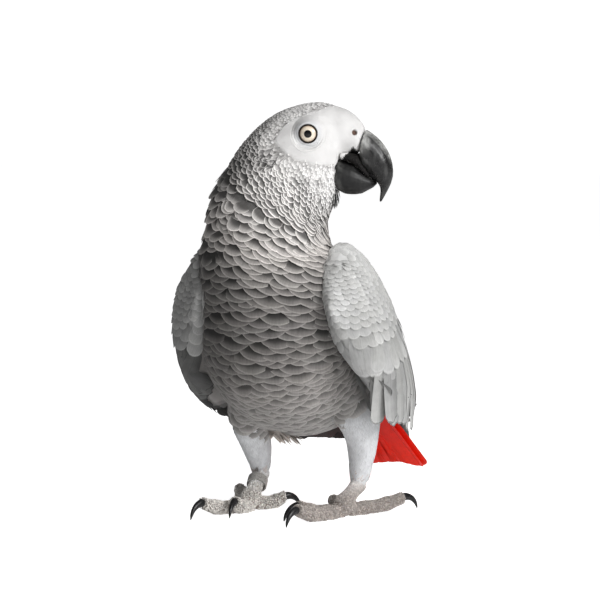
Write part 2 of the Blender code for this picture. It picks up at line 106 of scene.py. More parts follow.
def linear_all(values):
    """Screen colours as the linear numbers that shaders take."""
    return np.where(values <= 0.04045, values / 12.92, ((values + 0.055) / 1.055) ** 2.4)


def linear(red, green, blue):
    return linear_all(np.array([red, green, blue], float))


def smoothstep(low, high, value):
    share = np.clip((value - low) / (high - low), 0.0, 1.0)
    return share * share * (3 - 2 * share)


def unit(vectors):
    return vectors / np.maximum(np.linalg.norm(vectors, axis=-1, keepdims=True), 1e-12)


def corners_of(node):
    """The low and high corners of a node's box."""
    low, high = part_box(node)
    return np.array(low), np.array(high)


def share_of(node, shares):
    low, high = corners_of(node)
    return low + (high - low) * np.array(shares, float)


def linked(name, mesh):
    thing = bpy.data.objects.new(name, mesh)
    bpy.context.scene.collection.objects.link(thing)
    return thing


def mesh_from(name, points, faces):
    """A mesh of these points and faces, all with the same number of corners."""
    mesh = bpy.data.meshes.new(name)
    corners = faces.shape[1]
    mesh.vertices.add(len(points))
    mesh.vertices.foreach_set("co", np.asarray(points, np.float32).ravel())
    mesh.loops.add(faces.size)
    mesh.loops.foreach_set("vertex_index", faces.astype(np.int32).ravel())
    mesh.polygons.add(len(faces))
    mesh.polygons.foreach_set("loop_start", np.arange(0, faces.size, corners, dtype=np.int32))
    mesh.update(calc_edges=True)
    mesh.validate()
    mesh.shade_smooth()
    return mesh


def read_points(mesh, what):
    values = np.empty(len(mesh.vertices) * 3, np.float32)
    mesh.vertices.foreach_get(what, values)
    return values.reshape(-1, 3).astype(float)


def points_of(mesh):
    return read_points(mesh, "co")


def normals_of(mesh):
    return read_points(mesh, "normal")


def tree_of(mesh):
    points = [tuple(vertex.co) for vertex in mesh.vertices]
    faces = [tuple(polygon.vertices) for polygon in mesh.polygons]
    return BVHTree.FromPolygons(points, faces)


def nearest(tree, points):
    """The nearest place on the surface to each point, and the way it faces there."""
    flat = points.reshape(-1, 3)
    places = np.empty_like(flat)
    facing = np.empty_like(flat)
    for index, point in enumerate(flat):
        places[index], facing[index], _, _ = tree.find_nearest(Vector(point))
    return places.reshape(points.shape), facing.reshape(points.shape)


def outside_by(tree, points):
    """How far outside the closed surface each point is, less than nothing inside it."""
    places, facing = nearest(tree, points)
    return ((points - places) * facing).sum(-1)


def evaluated(thing, name):
    """The object's mesh with its modifiers applied, in place of the object."""
    graph = bpy.context.evaluated_depsgraph_get()
    mesh = bpy.data.meshes.new_from_object(thing.evaluated_get(graph))
    mesh.name = name
    bpy.data.objects.remove(thing)
    return mesh


def welded_copy(node, swell=0.0):
    """A node's mesh with its split corners joined, pushed out by swell."""
    shape = bmesh.new()
    shape.from_mesh(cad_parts[node].data)
    bmesh.ops.remove_doubles(shape, verts=shape.verts, dist=1e-6)
    shape.normal_update()
    moved = [(vertex, vertex.co + vertex.normal * swell) for vertex in shape.verts]
    for vertex, place in moved:
        vertex.co = place
    return shape


def merged(name, nodes, grid, rounds, swell=SWELL):
    """One smooth closed mesh round these nodes."""
    joined = bpy.data.meshes.new(name)
    whole = bmesh.new()
    for node in nodes:
        shape = welded_copy(node, swell)
        part = bpy.data.meshes.new("part")
        shape.to_mesh(part)
        shape.free()
        whole.from_mesh(part)
        bpy.data.meshes.remove(part)
    whole.to_mesh(joined)
    whole.free()
    thing = linked(name, joined)
    remesh = thing.modifiers.new("remesh", "REMESH")
    remesh.mode = "VOXEL"
    remesh.voxel_size = grid
    smooth = thing.modifiers.new("smooth", "SMOOTH")
    smooth.factor = 0.5
    smooth.iterations = rounds
    mesh = evaluated(thing, name)
    mesh.shade_smooth()
    return mesh


# ---------------------------------------------------------------- maps of the body


def blurred(grid, rounds, wrap):
    """The grid of points smoothed along and, where it wraps, round."""
    for _ in range(rounds):
        along = grid.copy()
        along[1:-1] = (grid[:-2] + 2 * grid[1:-1] + grid[2:]) / 4
        if wrap:
            along = (np.roll(along, 1, 1) + 2 * along + np.roll(along, -1, 1)) / 4
        grid = along
    return grid


class Sheath:
    """Rings of points round a long surface, looked up by place along and angle round."""

    def __init__(self, tree, centres, dorsal, lateral, reach=0.12):
        steps, spokes = len(centres), BODY_SPOKES
        angles = np.arange(spokes) * 2 * math.pi / spokes
        grid = np.empty((steps, spokes, 3))
        for row in range(steps):
            for column, angle in enumerate(angles):
                way = dorsal[row] * math.cos(angle) + lateral[row] * math.sin(angle)
                place, _, _, _ = tree.ray_cast(Vector(centres[row]), Vector(way), reach)
                grid[row, column] = centres[row] + way * 0.002 if place is None else place
        self.grid = blurred(grid, 3, True)
        gaps = np.linalg.norm(np.diff(self.grid, axis=0), axis=2).mean(1)
        self.along = np.concatenate([[0.0], np.cumsum(gaps)])
        self.length = self.along[-1]

    def at(self, along, angle):
        """Places for distances along in metres and angles round in radians."""
        row = np.interp(along, self.along, np.arange(len(self.along)))
        row = np.clip(row, 0, len(self.along) - 1.001)
        column = (angle / (2 * math.pi) * BODY_SPOKES) % BODY_SPOKES
        low_row, low_column = row.astype(int), column.astype(int) % BODY_SPOKES
        row_part, column_part = (row - low_row)[..., None], (column - np.floor(column))[..., None]
        next_column = (low_column + 1) % BODY_SPOKES
        near, far = (
            self.grid[rows, low_column] * (1 - column_part) + self.grid[rows, next_column] * column_part
            for rows in (low_row, low_row + 1)
        )
        return near * (1 - row_part) + far * row_part

    def chart(self, along, angle):
        """Places on the surface unwrapped to a square, for the OFBake map."""
        return 0.02 + 0.96 * np.column_stack([angle / (2 * math.pi) % 1, along / self.length])

    def frame_at(self, along, angle):
        """Places, the ways on down the surface, and how far a metre along and a whole turn really go."""
        small, turn = 0.0008, 0.02
        before, after = self.at(along - small, angle), self.at(along + small, angle)
        left, right = self.at(along, angle - turn), self.at(along, angle + turn)
        on = after - before
        return (
            (before + after) / 2,
            unit(on),
            np.linalg.norm(on, axis=-1) / (2 * small),
            np.linalg.norm(right - left, axis=-1) / (2 * turn) * 2 * math.pi,
        )


def body_sheath(tree):
    centres = np.array([share_of(node, shares) for node, *shares, _, _ in STATIONS])
    turns = np.radians([(row[4], row[5]) for row in STATIONS])
    knots = np.arange(len(STATIONS))
    fine = np.linspace(0, len(STATIONS) - 1, BODY_STEPS)
    table = np.column_stack([centres, turns])
    table = np.column_stack([np.interp(fine, knots, column) for column in table.T])
    table = blurred(table[:, None, :], 60, False)[:, 0]
    yaw, pitch = table[:, 3], table[:, 4]
    lateral = np.column_stack([np.cos(yaw), np.sin(yaw), 0 * yaw])
    back = np.column_stack([-np.sin(yaw), np.cos(yaw), 0 * yaw])
    dorsal = UP * np.cos(pitch)[:, None] + back * np.sin(pitch)[:, None]
    return Sheath(tree, table[:, :3], dorsal, lateral)


def thigh_sheath(tree, side):
    knots = np.array([share_of(f"thigh_{side}", shares) for shares in THIGH_LINES[side]])
    fine = np.linspace(0, len(knots) - 1, 90)
    line = np.column_stack([np.interp(fine, np.arange(len(knots)), column) for column in knots.T])
    line = blurred(line[:, None, :], 40, False)[:, 0]
    way = unit(np.gradient(line, axis=0))
    lateral = unit(np.cross(way, np.array([0.0, 1.0, 0.0])))
    dorsal = np.cross(lateral, way)
    return Sheath(tree, line, dorsal, lateral, 0.03)


# ---------------------------------------------------------------- feathers


class Coat:
    """Thin closed vanes gathered into one mesh, with their colours and maps."""

    def __init__(self, name):
        self.name = name
        self.points, self.faces, self.sharp = [], [], []
        self.centre, self.rim, self.vane, self.bake = [], [], [], []
        self.count = 0
        self.roots, self.tones = [], []

    def add(self, tree, root, way, length, width, centre, rim, chart, look):
        """Drapes one vane for each root over the tree's surface.

        look: columns and rows of faces, shape (half width at the root, a quarter, two thirds and the end),
        tip (how deep the round end is, in half widths), depth of the root, rise of the tip and its curve,
        cup, thick, ragged, bend, roll and its jitter, stiff, how varied the colours are, and the seed."""
        rng = np.random.default_rng(look["seed"])
        columns, rows = look["columns"], look["rows"]
        many = len(root)
        if not many:
            return
        length, width = np.broadcast_to(length, many), np.broadcast_to(width, many)
        depth = np.broadcast_to(look["depth"], many)[:, None, None]
        rise = np.broadcast_to(look["rise"], many)[:, None, None]
        turn = np.linspace(-1, 1, columns + 1) * math.pi / 2
        across, down = np.sin(turn), np.linspace(0, 1, rows + 1) ** 0.85
        shape = np.interp(down, (0, 0.25, 0.66, 1), look["shape"])
        bend, stiff = look.get("bend", 0.0), look.get("stiff", -1.0)
        line, turns, ways, loose = self.spines(tree, root, way, length, down, bend, stiff)
        beside = np.cross(ways, turns)
        tip = np.broadcast_to(look["tip"], many)
        short = np.minimum(tip * width / 2 / length, 0.8)[:, None] * (1 - np.cos(turn))
        short = short + look.get("ragged", 0.0) * rng.standard_normal(short.shape)
        share = down[None, :, None] * (1 - short[:, None, :])
        back = (down[None, :, None] - share) * length[:, None, None]
        half = width[:, None, None] / 2 * shape[None, :, None] * across[None, None, :]
        spots = line[:, :, None] + beside[:, :, None] * half[..., None] - ways[:, :, None] * back[..., None]
        onto, normal = nearest(tree, spots)
        onto = np.where(loose[:, :, None, None], spots, onto)
        normal = np.where(loose[:, :, None, None], 0.0, normal)
        normal = unit(normal + 2 * turns[:, :, None])
        lift = -depth + (depth + rise) * np.clip(share, 0, 2) ** look.get("curve", 0.8)
        lift = lift - look["cup"] * width[:, None, None] * (across**2)[None, None, :]
        roll = np.broadcast_to(look.get("roll", 0.0), many)
        roll = roll + look.get("jitter", 0.03) * rng.standard_normal(many)
        lift = lift + (roll * width)[:, None, None] * across[None, None, :] / 2
        top = onto + normal * lift[..., None]
        thick = look["thick"] * (1 - 0.75 * across**2)[None, None, :] * (1 - 0.6 * down)[None, :, None]
        low = top - normal * np.broadcast_to(thick, lift.shape)[..., None]
        self.take(top, low, columns, rows)
        tint = 1 + look.get("varied", 0.05) * rng.standard_normal((many, 1))
        each = (rows + 1) * (columns + 1)
        for store, colour in ((self.centre, centre * tint), (self.rim, rim * tint)):
            store.append(np.repeat(np.broadcast_to(colour, (many, 3)), 2 * each, 0))
        u, v = np.meshgrid((across + 1) / 2, down)
        flat = np.column_stack([u.ravel(), v.ravel()])
        self.vane.append(np.tile(flat, (2 * many, 1)))
        patch = 0.003 * (flat - 0.5)
        spread = chart[:, None, :] + patch[None, :, :]
        self.bake.append(np.repeat(spread[:, None], 2, 1).reshape(-1, 2))
        self.roots.append(line[:, 0])
        self.tones.append(np.broadcast_to(centre * 0.6 + rim * 0.4, (many, 3)))

    def spines(self, tree, root, way, length, down, bend, stiff):
        """The middle line of each vane, the ways it faces and runs, and where it runs free of the surface.

        A vane runs on free where the surface turns under by more than the angle whose cosine is stiff."""
        place, facing = nearest(tree, root)
        way = unit(way - facing * (way * facing).sum(-1, keepdims=True))
        line, turns, ways, loose = [place], [facing], [way], [np.zeros(len(root), bool)]
        bend = np.broadcast_to(bend, len(root))[:, None]
        for row in range(1, len(down)):
            step = (down[row] - down[row - 1]) * length[:, None]
            side = np.cross(ways[-1], turns[-1])
            on = line[-1] + ways[-1] * step
            place, normal = nearest(tree, on)
            free = loose[-1] | (((normal * turns[0]).sum(-1) < stiff) & (normal[:, 2] < -0.1))
            place = np.where(free[:, None], on, place)
            normal = np.where(free[:, None], turns[-1], unit(normal + turns[-1]))
            loose.append(free)
            heading = ways[-1] + side * bend * step / length[:, None]
            heading = unit(heading - normal * (heading * normal).sum(-1, keepdims=True))
            line.append(place)
            turns.append(normal)
            ways.append(heading)
        return tuple(np.stack(part, 1) for part in (line, turns, ways, loose))

    def take(self, top, low, columns, rows):
        """Adds the top and under sides and the narrow rim between them."""
        many, each = len(top), (rows + 1) * (columns + 1)
        both = np.stack([top.reshape(many, each, 3), low.reshape(many, each, 3)], 1)
        self.points.append(both.reshape(-1, 3))
        ids = np.arange(each).reshape(rows + 1, columns + 1)
        quad = np.stack([ids[:-1, :-1], ids[:-1, 1:], ids[1:, 1:], ids[1:, :-1]], -1).reshape(-1, 4)
        loop = np.concatenate([ids[0, :-1], ids[:-1, -1], ids[-1, :0:-1], ids[:0:-1, 0]])
        after = np.roll(loop, -1)
        rim = np.stack([loop, loop + each, after + each, after], -1)
        one = np.concatenate([quad, quad[:, ::-1] + each, rim])
        starts = self.count + np.arange(many) * 2 * each
        self.faces.append((one[None] + starts[:, None, None]).reshape(-1, 4))
        flag = np.zeros(each, np.int8)
        flag[loop] = 1
        self.sharp.append(np.tile(np.concatenate([flag, flag * 2]), many))
        self.count += many * 2 * each

    def build(self, material, slot):
        points, faces = np.concatenate(self.points), np.concatenate(self.faces)
        mesh = mesh_from(self.name, points, faces)
        for title, colours in (("centre", self.centre), ("rim", self.rim)):
            layer = mesh.color_attributes.new(title, "BYTE_COLOR", "POINT")
            values = np.clip(np.concatenate(colours), 0, 1)
            values = np.column_stack([values, np.ones(len(values))])
            layer.data.foreach_set("color", values.astype(np.float32).ravel())
        corners = np.empty(len(mesh.loops), np.int32)
        mesh.loops.foreach_get("vertex_index", corners)
        for title, flat in (("Vane", self.vane), ("OFBake", self.bake)):
            layer = mesh.uv_layers.new(name=title)
            layer.uv.foreach_set("vector", np.concatenate(flat)[corners].astype(np.float32).ravel())
        ends = np.empty(len(mesh.edges) * 2, np.int32)
        mesh.edges.foreach_get("vertices", ends)
        flags = np.concatenate(self.sharp)[ends.reshape(-1, 2)]
        sharp = (flags[:, 0] == flags[:, 1]) & (flags[:, 0] > 0)
        edge = mesh.attributes.new("sharp_edge", "BOOLEAN", "EDGE")
        edge.data.foreach_set("value", sharp)
        thing = linked(self.name, mesh)
        mesh.materials.append(material)
        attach(thing, "root")
        return thing


# ---------------------------------------------------------------- markings


def eye_centre(side):
    low, high = corners_of(f"eye_{side}")
    return (low + high) / 2


def between_eyes():
    return (eye_centre("left") + eye_centre("right")) / 2


def head_place(points):
    """How many mm forward of the eyes, and above them, each point is."""
    from_eyes = (points - between_eyes()) / MM
    return from_eyes @ FORWARD, from_eyes @ UP


# The edge of the bare face: angles in degrees round a place before the eyes, and reaches in mm.
FACE_MIDDLE = (6.0, -1.0)
FACE_TURNS = (0, 50, 60, 65, 101, 136, 167, 186, 206, 241, 279, 299, 312, 325, 360)
FACE_REACH = (60, 60, 22, 16.3, 12.7, 13.9, 19.4, 22.8, 18.5, 14.7, 14.5, 16.3, 24, 60, 60)
EAR = (-15.3, -10.9)
CHIN = (11.0, -29.5)


def outside_face(points):
    """Millimetres outside the edge of the bare white face, less than nothing on it."""
    forward, above = head_place(points)
    forward, above = forward - FACE_MIDDLE[0], above - FACE_MIDDLE[1]
    turn = np.degrees(np.arctan2(above, forward)) % 360
    return np.hypot(forward, above) - np.interp(turn, FACE_TURNS, FACE_REACH)


def near_mark(points, mark, size):
    """One at a mark on the head's sides, given forward of and above the eyes, falling to nothing at size."""
    forward, above = head_place(points)
    return 1 - smoothstep(0.4 * size, size, np.hypot(forward - mark[0], above - mark[1]))


def near_chin(points):
    """One at the chin, between the sides of the lower bill, falling to nothing round it."""
    across = np.abs((points - between_eyes()) @ BESIDE) / MM
    return near_mark(points, CHIN, 4.6) * (1 - smoothstep(3.0, 6.0, across))


# Grey of the feathers' middles and rims down the body, at these distances in mm.
TONES_AT = (0, 18, 30, 42, 60, 84, 110, 135, 160, 190, 240)
BELLY_MIDDLE = (0.92, 0.80, 0.60, 0.53, 0.43, 0.26, 0.28, 0.50, 0.60, 0.68, 0.74)
BELLY_RIM = (0.98, 0.98, 0.97, 0.95, 0.87, 0.62, 0.57, 0.66, 0.76, 0.82, 0.86)
BACK_MIDDLE = (0.92, 0.78, 0.44, 0.34, 0.27, 0.28, 0.36, 0.44, 0.52, 0.60, 0.66)
BACK_RIM = (0.94, 0.93, 0.84, 0.72, 0.62, 0.56, 0.62, 0.64, 0.70, 0.78, 0.84)

# The angle round the body, from its back, of the side that faces the camera.
FRONT_TURN = math.radians(165)


def body_colours(along, angle, points):
    """Middle and rim colours of the feathers at these places of the body."""
    reach = along / MM
    back = smoothstep(-0.1, 0.6, np.cos(angle))
    middle = np.interp(reach, TONES_AT, BELLY_MIDDLE)
    middle = middle + (np.interp(reach, TONES_AT, BACK_MIDDLE) - middle) * back
    rim = np.interp(reach, TONES_AT, BELLY_RIM)
    rim = rim + (np.interp(reach, TONES_AT, BACK_RIM) - rim) * back
    head = reach < 62
    pale = (1 - smoothstep(-1.0, 10.0, outside_face(points))) * head
    middle = middle + (0.95 - middle) * pale
    rim = rim + (0.98 - rim) * pale
    # Painted shade: the breast is darker on its sides, away from the front, between the neck and the belly,
    # where the wing and the turn of the body shade it.
    turned = np.abs((angle - FRONT_TURN + math.pi) % (2 * math.pi) - math.pi)
    painted_side_shade = smoothstep(0.35, 1.1, turned) * smoothstep(62, 84, reach) * (1 - smoothstep(130, 165, reach))
    middle = middle * (1 - 0.30 * painted_side_shade * (1 - back))
    rim = rim * (1 - 0.22 * painted_side_shade * (1 - back))
    ear = near_mark(points, EAR, 7.0) * head
    middle = middle - 0.22 * ear
    rim = rim - 0.10 * ear
    # The chin's feathers are darker: partly their own dark tuft, partly painted shadow under the lower bill.
    chin = near_chin(points) * head
    middle = middle + (0.24 - middle) * chin
    rim = rim + (0.36 - rim) * chin
    warm = np.interp(reach, (20, 60, 130, 190), (0.3, 1, 1, 0.2))[:, None]
    tint = 1 - warm * np.array([0.0, 0.025, 0.045])
    return linear_all(middle[:, None] * tint), linear_all(rim[:, None] * tint)


# ---------------------------------------------------------------- the body's coat

# Down the body, in mm: how far apart the rows are and how broad a feather shows.
SIZES_AT = (0, 18, 24, 30, 36, 42, 48, 54, 60, 72, 110, 125, 140, 160, 240)
ROW_GAPS = (1.3, 1.35, 1.45, 1.6, 1.7, 1.8, 1.9, 2.1, 2.3, 2.5, 2.5, 2.2, 2.0, 2.3, 3.2)
BREADTHS = (1.5, 1.6, 1.9, 2.6, 3.8, 5.6, 8.0, 10.0, 12.0, 14.5, 15.0, 12.0, 10.0, 9.0, 9.0)

# What the scallops of neck and breast share, and the softer ones of the belly.
SCALLOP = dict(columns=12, rows=6, shape=(0.4, 0.85, 1, 1), cup=0.02, thick=0.12 * MM, ragged=0.006,
               jitter=0.008)
SOFT_SCALLOP = dict(SCALLOP, tip=0.62, depth=1.4 * MM, rise=0.20 * MM, cup=0.01, thick=0.09 * MM,
                    ragged=0.015, overlap=4.0, broad=1.35, jitter=0.015)

# Kinds of feather, each from its distance in mm down the body on.
LOOKS = (
    (0, "coat_head", dict(columns=4, rows=3, shape=(0.5, 0.9, 1, 0.9), tip=1.1, depth=0.5 * MM,
                          rise=0.20 * MM, cup=0.05, thick=0.07 * MM, ragged=0.05, overlap=2.2, broad=1.25)),
    (27, "coat_nape", dict(columns=6, rows=4, shape=(0.4, 0.85, 1, 0.97), tip=1.0, depth=0.9 * MM,
                           rise=0.30 * MM, cup=0.04, thick=0.10 * MM, ragged=0.03, overlap=2.3, broad=1.35)),
    (45, "coat_neck", dict(SCALLOP, tip=0.85, depth=1.5 * MM, rise=0.36 * MM, overlap=4.2, broad=1.25)),
    (84, "coat_breast", dict(SCALLOP, columns=14, cup=0.015, tip=0.72, depth=1.7 * MM, rise=0.34 * MM,
                             overlap=4.6, broad=1.3)),
    (128, "coat_belly", dict(SOFT_SCALLOP)),
    (155, "coat_vent", dict(SOFT_SCALLOP, columns=8, rows=5)),
)
LOW_COATS = ("coat_belly", "coat_vent")

# How deep in a thigh a belly feather may stand, a way that the camera sees the body from,
# and the angle round the neck, from its back, where the nape's feathers stand out.
THIGH_HIDES = 3.0 * MM
RIGHT_FRONT = np.array([0.25, -0.97, 0.0])
NAPE_TURN = math.radians(300)


def inside(tree, points, margin):
    """Whether each point is at least margin inside the closed surface."""
    return outside_by(tree, points) < -margin


def body_rows(sheath):
    """Feather places in rows that keep their gap on every side of the body: along, angle, gap, breadth."""
    rng = np.random.default_rng(11)
    ring = np.arange(BODY_SPOKES) * 2 * math.pi / BODY_SPOKES
    found = []
    along, row = 1.0 * MM, 0
    while along < sheath.length - 3 * MM:
        gap = np.interp(along / MM, SIZES_AT, ROW_GAPS) * MM
        breadth = np.interp(along / MM, SIZES_AT, BREADTHS) * MM
        _, _, stretch, round_ = sheath.frame_at(np.full(BODY_SPOKES, along), ring)
        step = gap / np.percentile(stretch, 90)
        arc = np.concatenate([[0.0], np.cumsum(round_)]) / BODY_SPOKES
        count = max(6, int(round(arc[-1] / breadth)))
        level = np.clip(np.floor(np.log2(gap / (step * stretch)) + 0.5), 0, 5).astype(int)
        places = sheath.at(np.full(BODY_SPOKES, along), ring)
        first = arc[np.argmax((places - places.mean(0)) @ RIGHT_FRONT)] / arc[-1]
        spots = (first + (np.arange(count) + rng.normal(0, 0.09, count)) / count) % 1.0
        near = level[(spots * BODY_SPOKES).astype(int) % BODY_SPOKES]
        kept = row % 2**near == 0
        shift = (row // 2**near) * 0.42 % 1 / count
        spots = ((spots + shift) % 1.0)[kept]
        angle = np.interp(spots * arc[-1], arc, np.append(ring, 2 * math.pi))
        here = along + rng.normal(0, 0.16, len(angle)) * step * 2 ** near[kept]
        sizes = np.tile([gap, arc[-1] / count], (len(angle), 1))
        found.append(np.column_stack([here, angle, sizes]))
        along += step
        row += 1
    return np.concatenate(found)


def body_coat(sheath, tree, low_tree, wings):
    """The coats of the body in turn: small flecks on the head, broad scallops below."""
    rng = np.random.default_rng(12)
    along, angle, gap, breadth = body_rows(sheath).T
    along = np.maximum(along, 0.5 * MM)
    root, way, _, _ = sheath.frame_at(along, angle)
    hang = smoothstep(36, 56, along / MM) * (1 - smoothstep(100, 135, along / MM))
    way = unit(way - UP * 1.3 * hang[:, None])
    keep = (outside_face(root) > -3.5 * rng.random(len(root)) ** 2) | (along > 62 * MM)
    for wing in wings:
        keep &= ~inside(wing, root, 1.0 * MM)
    coats = []
    ends = [start for start, _, _ in LOOKS[1:]] + [1000]
    for (start, name, look), end in zip(LOOKS, ends):
        chosen = keep & (along >= start * MM) & (along < end * MM)
        if name in LOW_COATS:
            chosen &= ~inside(low_tree, root, THIGH_HIDES)
        here, turn, places = along[chosen], angle[chosen], root[chosen]
        middle, rim = body_colours(here, turn, places)
        head = here < 62 * MM
        ear = near_mark(places, EAR, 8.0) * head
        chin = near_chin(places) * head
        nape = smoothstep(0.1, 0.8, np.cos(turn - NAPE_TURN))
        nape = nape * smoothstep(44 * MM, 54 * MM, here) * (1 - smoothstep(80 * MM, 92 * MM, here))
        proud = nape * rng.random(len(here)) ** 2
        look = dict(look, seed=start + 5)
        flat = (1 - smoothstep(-1, 9, outside_face(places))) * head
        look["rise"] = look["rise"] + (2.6 * proud + 1.8 * chin - 0.45 * flat) * MM
        look["tip"] = look["tip"] + 1.0 * proud + chin
        look["bend"] = rng.normal(0, 0.08, len(here)) + 1.2 * ear * rng.choice((-1, 1), len(here))
        on_face = (1 - smoothstep(-3, 3, outside_face(places))) * head
        size = rng.normal(1, 0.09, len(here)) * (1 - 0.4 * on_face)
        length = gap[chosen] * look["overlap"] * size * (1 + 0.5 * ear + 0.3 * proud + 0.6 * chin)
        width = breadth[chosen] * look["broad"] * size * (1 - 0.4 * ear - 0.3 * proud)
        chart = sheath.chart(here, turn)
        coat = Coat(name)
        surface = low_tree if name in LOW_COATS else tree
        coat.add(surface, places, way[chosen], length, width, middle, rim, chart, look)
        coats.append(coat)
    return coats


# ---------------------------------------------------------------- wings


# From the wrist, in mm: how far apart the wing's rows are, how broad a vane shows and how grey it is.
WING_AT = (0, 20, 32, 40, 45, 200)
WING_GAPS = (1.5, 2.1, 3.0, 4.6, 24.0, 26.0)
WING_BREADTHS = (2.8, 3.4, 4.6, 6.2, 4.3, 4.8)
# The right wing's greys are darker than the left's: painted shade on the wing that faces away from the key
# light.
WING_GREYS_AND_SHADE = {"left": (0.80, 0.75, 0.70, 0.69, 0.69, 0.69), "right": (0.52, 0.56, 0.55, 0.51, 0.44, 0.34)}

# How low the wing's vanes end, as a share of its box, how much darker the flight feathers' lower ends are,
# and how they hold their own line where the wing turns under.
WING_LOWEST = {"left": 0.17, "right": 0.23}
WING_TIP_DARKER = {"left": 0.04, "right": 0.22}
WING_STIFF = {"left": 0.8, "right": -1.0}
FLIGHT_FROM = 42
PRIMARY_GREY = 0.17
WING_TINT = np.array([1.0, 1.0, 0.992])
FLIGHT = dict(rows=14, tip=1.1, rise=0.22 * MM, cup=0.03, roll=0.05)
COVERT = dict(rows=6, tip=0.95, rise=0.10 * MM, cup=0.015, roll=0.015)


def wing_shoulder(side):
    """The place at the wing's wrist that its feathers spread from."""
    sign = SIDES[side]
    low, high = corners_of(f"wing_{side}")
    return np.array([(low[0] + high[0]) / 2 - sign * 2 * MM, low[1] + 16 * MM, high[2] - 6 * MM])


def contours(points, faces, heights, level):
    """Closed lines on a mesh of triangles where the heights of its points reach a level."""
    above = heights[faces] > level
    linked_by = {}
    for face in np.nonzero(above.any(1) & ~above.all(1))[0]:
        ends = []
        for one, two in ((0, 1), (1, 2), (2, 0)):
            if above[face, one] != above[face, two]:
                ends.append(tuple(sorted(faces[face, [one, two]].tolist())))
        linked_by.setdefault(ends[0], []).append(ends[1])
        linked_by.setdefault(ends[1], []).append(ends[0])
    lines = []
    while linked_by:
        edge = next(iter(linked_by))
        line = []
        while edge in linked_by:
            line.append(edge)
            others = linked_by.pop(edge)
            edge = next((other for other in others if other in linked_by), None)
        one, two = np.array(line).T
        part = ((level - heights[one]) / (heights[two] - heights[one]))[:, None]
        lines.append(points[one] * (1 - part) + points[two] * part)
    return lines


def spread(line, breadth, shift):
    """Places along a closed line about one breadth apart."""
    closed = np.vstack([line, line[:1]])
    reach = np.concatenate([[0.0], np.cumsum(np.linalg.norm(np.diff(closed, axis=0), axis=1))])
    count = max(1, int(round(reach[-1] / breadth)))
    at = (np.arange(count) + shift) / count * reach[-1]
    return np.column_stack([np.interp(at, reach, column) for column in closed.T])


def wing_coat(side, mesh, tree, body):
    """The feathers of a wing in arcs about its wrist: small coverts, then long flight feathers."""
    rng = np.random.default_rng(21 + SIDES[side])
    shoulder = wing_shoulder(side)
    wing_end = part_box(f"wing_{side}")[1][1]
    lowest = share_of(f"wing_{side}", (0, 0, WING_LOWEST[side]))[2]
    shape = bmesh.new()
    shape.from_mesh(mesh)
    bmesh.ops.triangulate(shape, faces=shape.faces)
    points = np.array([vertex.co for vertex in shape.verts])
    faces = np.array([[vertex.index for vertex in face.verts] for face in shape.faces])
    shape.free()
    heights = np.linalg.norm(points - shoulder, axis=1)
    last = heights.max(), heights[points[:, 1] < wing_end].max()
    coats = Coat(f"coverts_{side}"), Coat(f"flight_{side}")
    radius, row = heights.min() + 1 * MM, 0
    while radius < last[0] - 6 * MM:
        tables = WING_GAPS, WING_BREADTHS, WING_GREYS_AND_SHADE[side]
        gap, wide, grey = (np.interp(radius / MM, WING_AT, table) for table in tables)
        gap, wide, flight = gap * MM, wide * MM, radius > FLIGHT_FROM * MM
        lines = [line for line in contours(points, faces, heights, radius) if len(line) > 6]
        roots = [spread(line, wide, (row % 2) * 0.5 + 0.25) for line in lines]
        row += 1
        reach, radius = radius, radius + gap
        if not roots:
            continue
        roots = np.concatenate(roots)
        roots = roots[~inside(body, roots, 0.3 * MM)]
        _, facing = nearest(tree, roots)
        roots = roots[(facing * unit(roots - shoulder)).sum(-1) < 0.55]
        many = len(roots)
        if not many:
            continue
        lies = unit(roots - shoulder)
        primary = roots[:, 1] > wing_end - 4 * MM
        length = gap * (2.2 if flight else 2.6) * rng.normal(1, 0.05, many)
        room = np.where(primary, last[0], last[1]) - reach + 5 * MM
        sink = np.maximum(-lies[:, 2], 0.05)
        above = (roots[:, 2] - lowest) / sink + rng.normal(0, 1.5 * MM, many)
        room = np.where(primary, room, np.minimum(room, above))
        length = np.clip(length, 4 * MM, np.maximum(room, 7 * MM))
        low_down = 1 - smoothstep(20 * MM, 55 * MM, roots[:, 2] - lowest)
        grey = grey - WING_TIP_DARKER[side] * low_down * flight
        shade = np.where(primary, PRIMARY_GREY, grey) + rng.normal(0, 0.025 if flight else 0.018, many)
        middle = linear_all(shade[:, None] * WING_TINT)
        rim = linear_all(np.clip(shade + 0.07, 0, 1)[:, None] * WING_TINT)
        look = dict(FLIGHT if flight else COVERT, columns=10, shape=(0.5, 0.92, 1, 0.97), depth=1.1 * MM,
                    thick=0.18 * MM, ragged=0.008, seed=row + 40, bend=rng.normal(0, 0.03, many),
                    varied=0.025, stiff=np.where(primary | (not flight), -1.0, WING_STIFF[side]))
        turn = np.arctan2((roots - shoulder)[:, 1], -(roots - shoulder)[:, 2])
        chart = np.column_stack([0.5 + 0.15 * turn, np.full(many, 0.03 + 0.9 * reach / last[0])])
        wide = wide * (2.1 if flight else 1.5)
        coats[flight].add(tree, roots, lies, length, wide, middle, rim, chart, look)
    return coats


# ---------------------------------------------------------------- thighs, tufts, tail


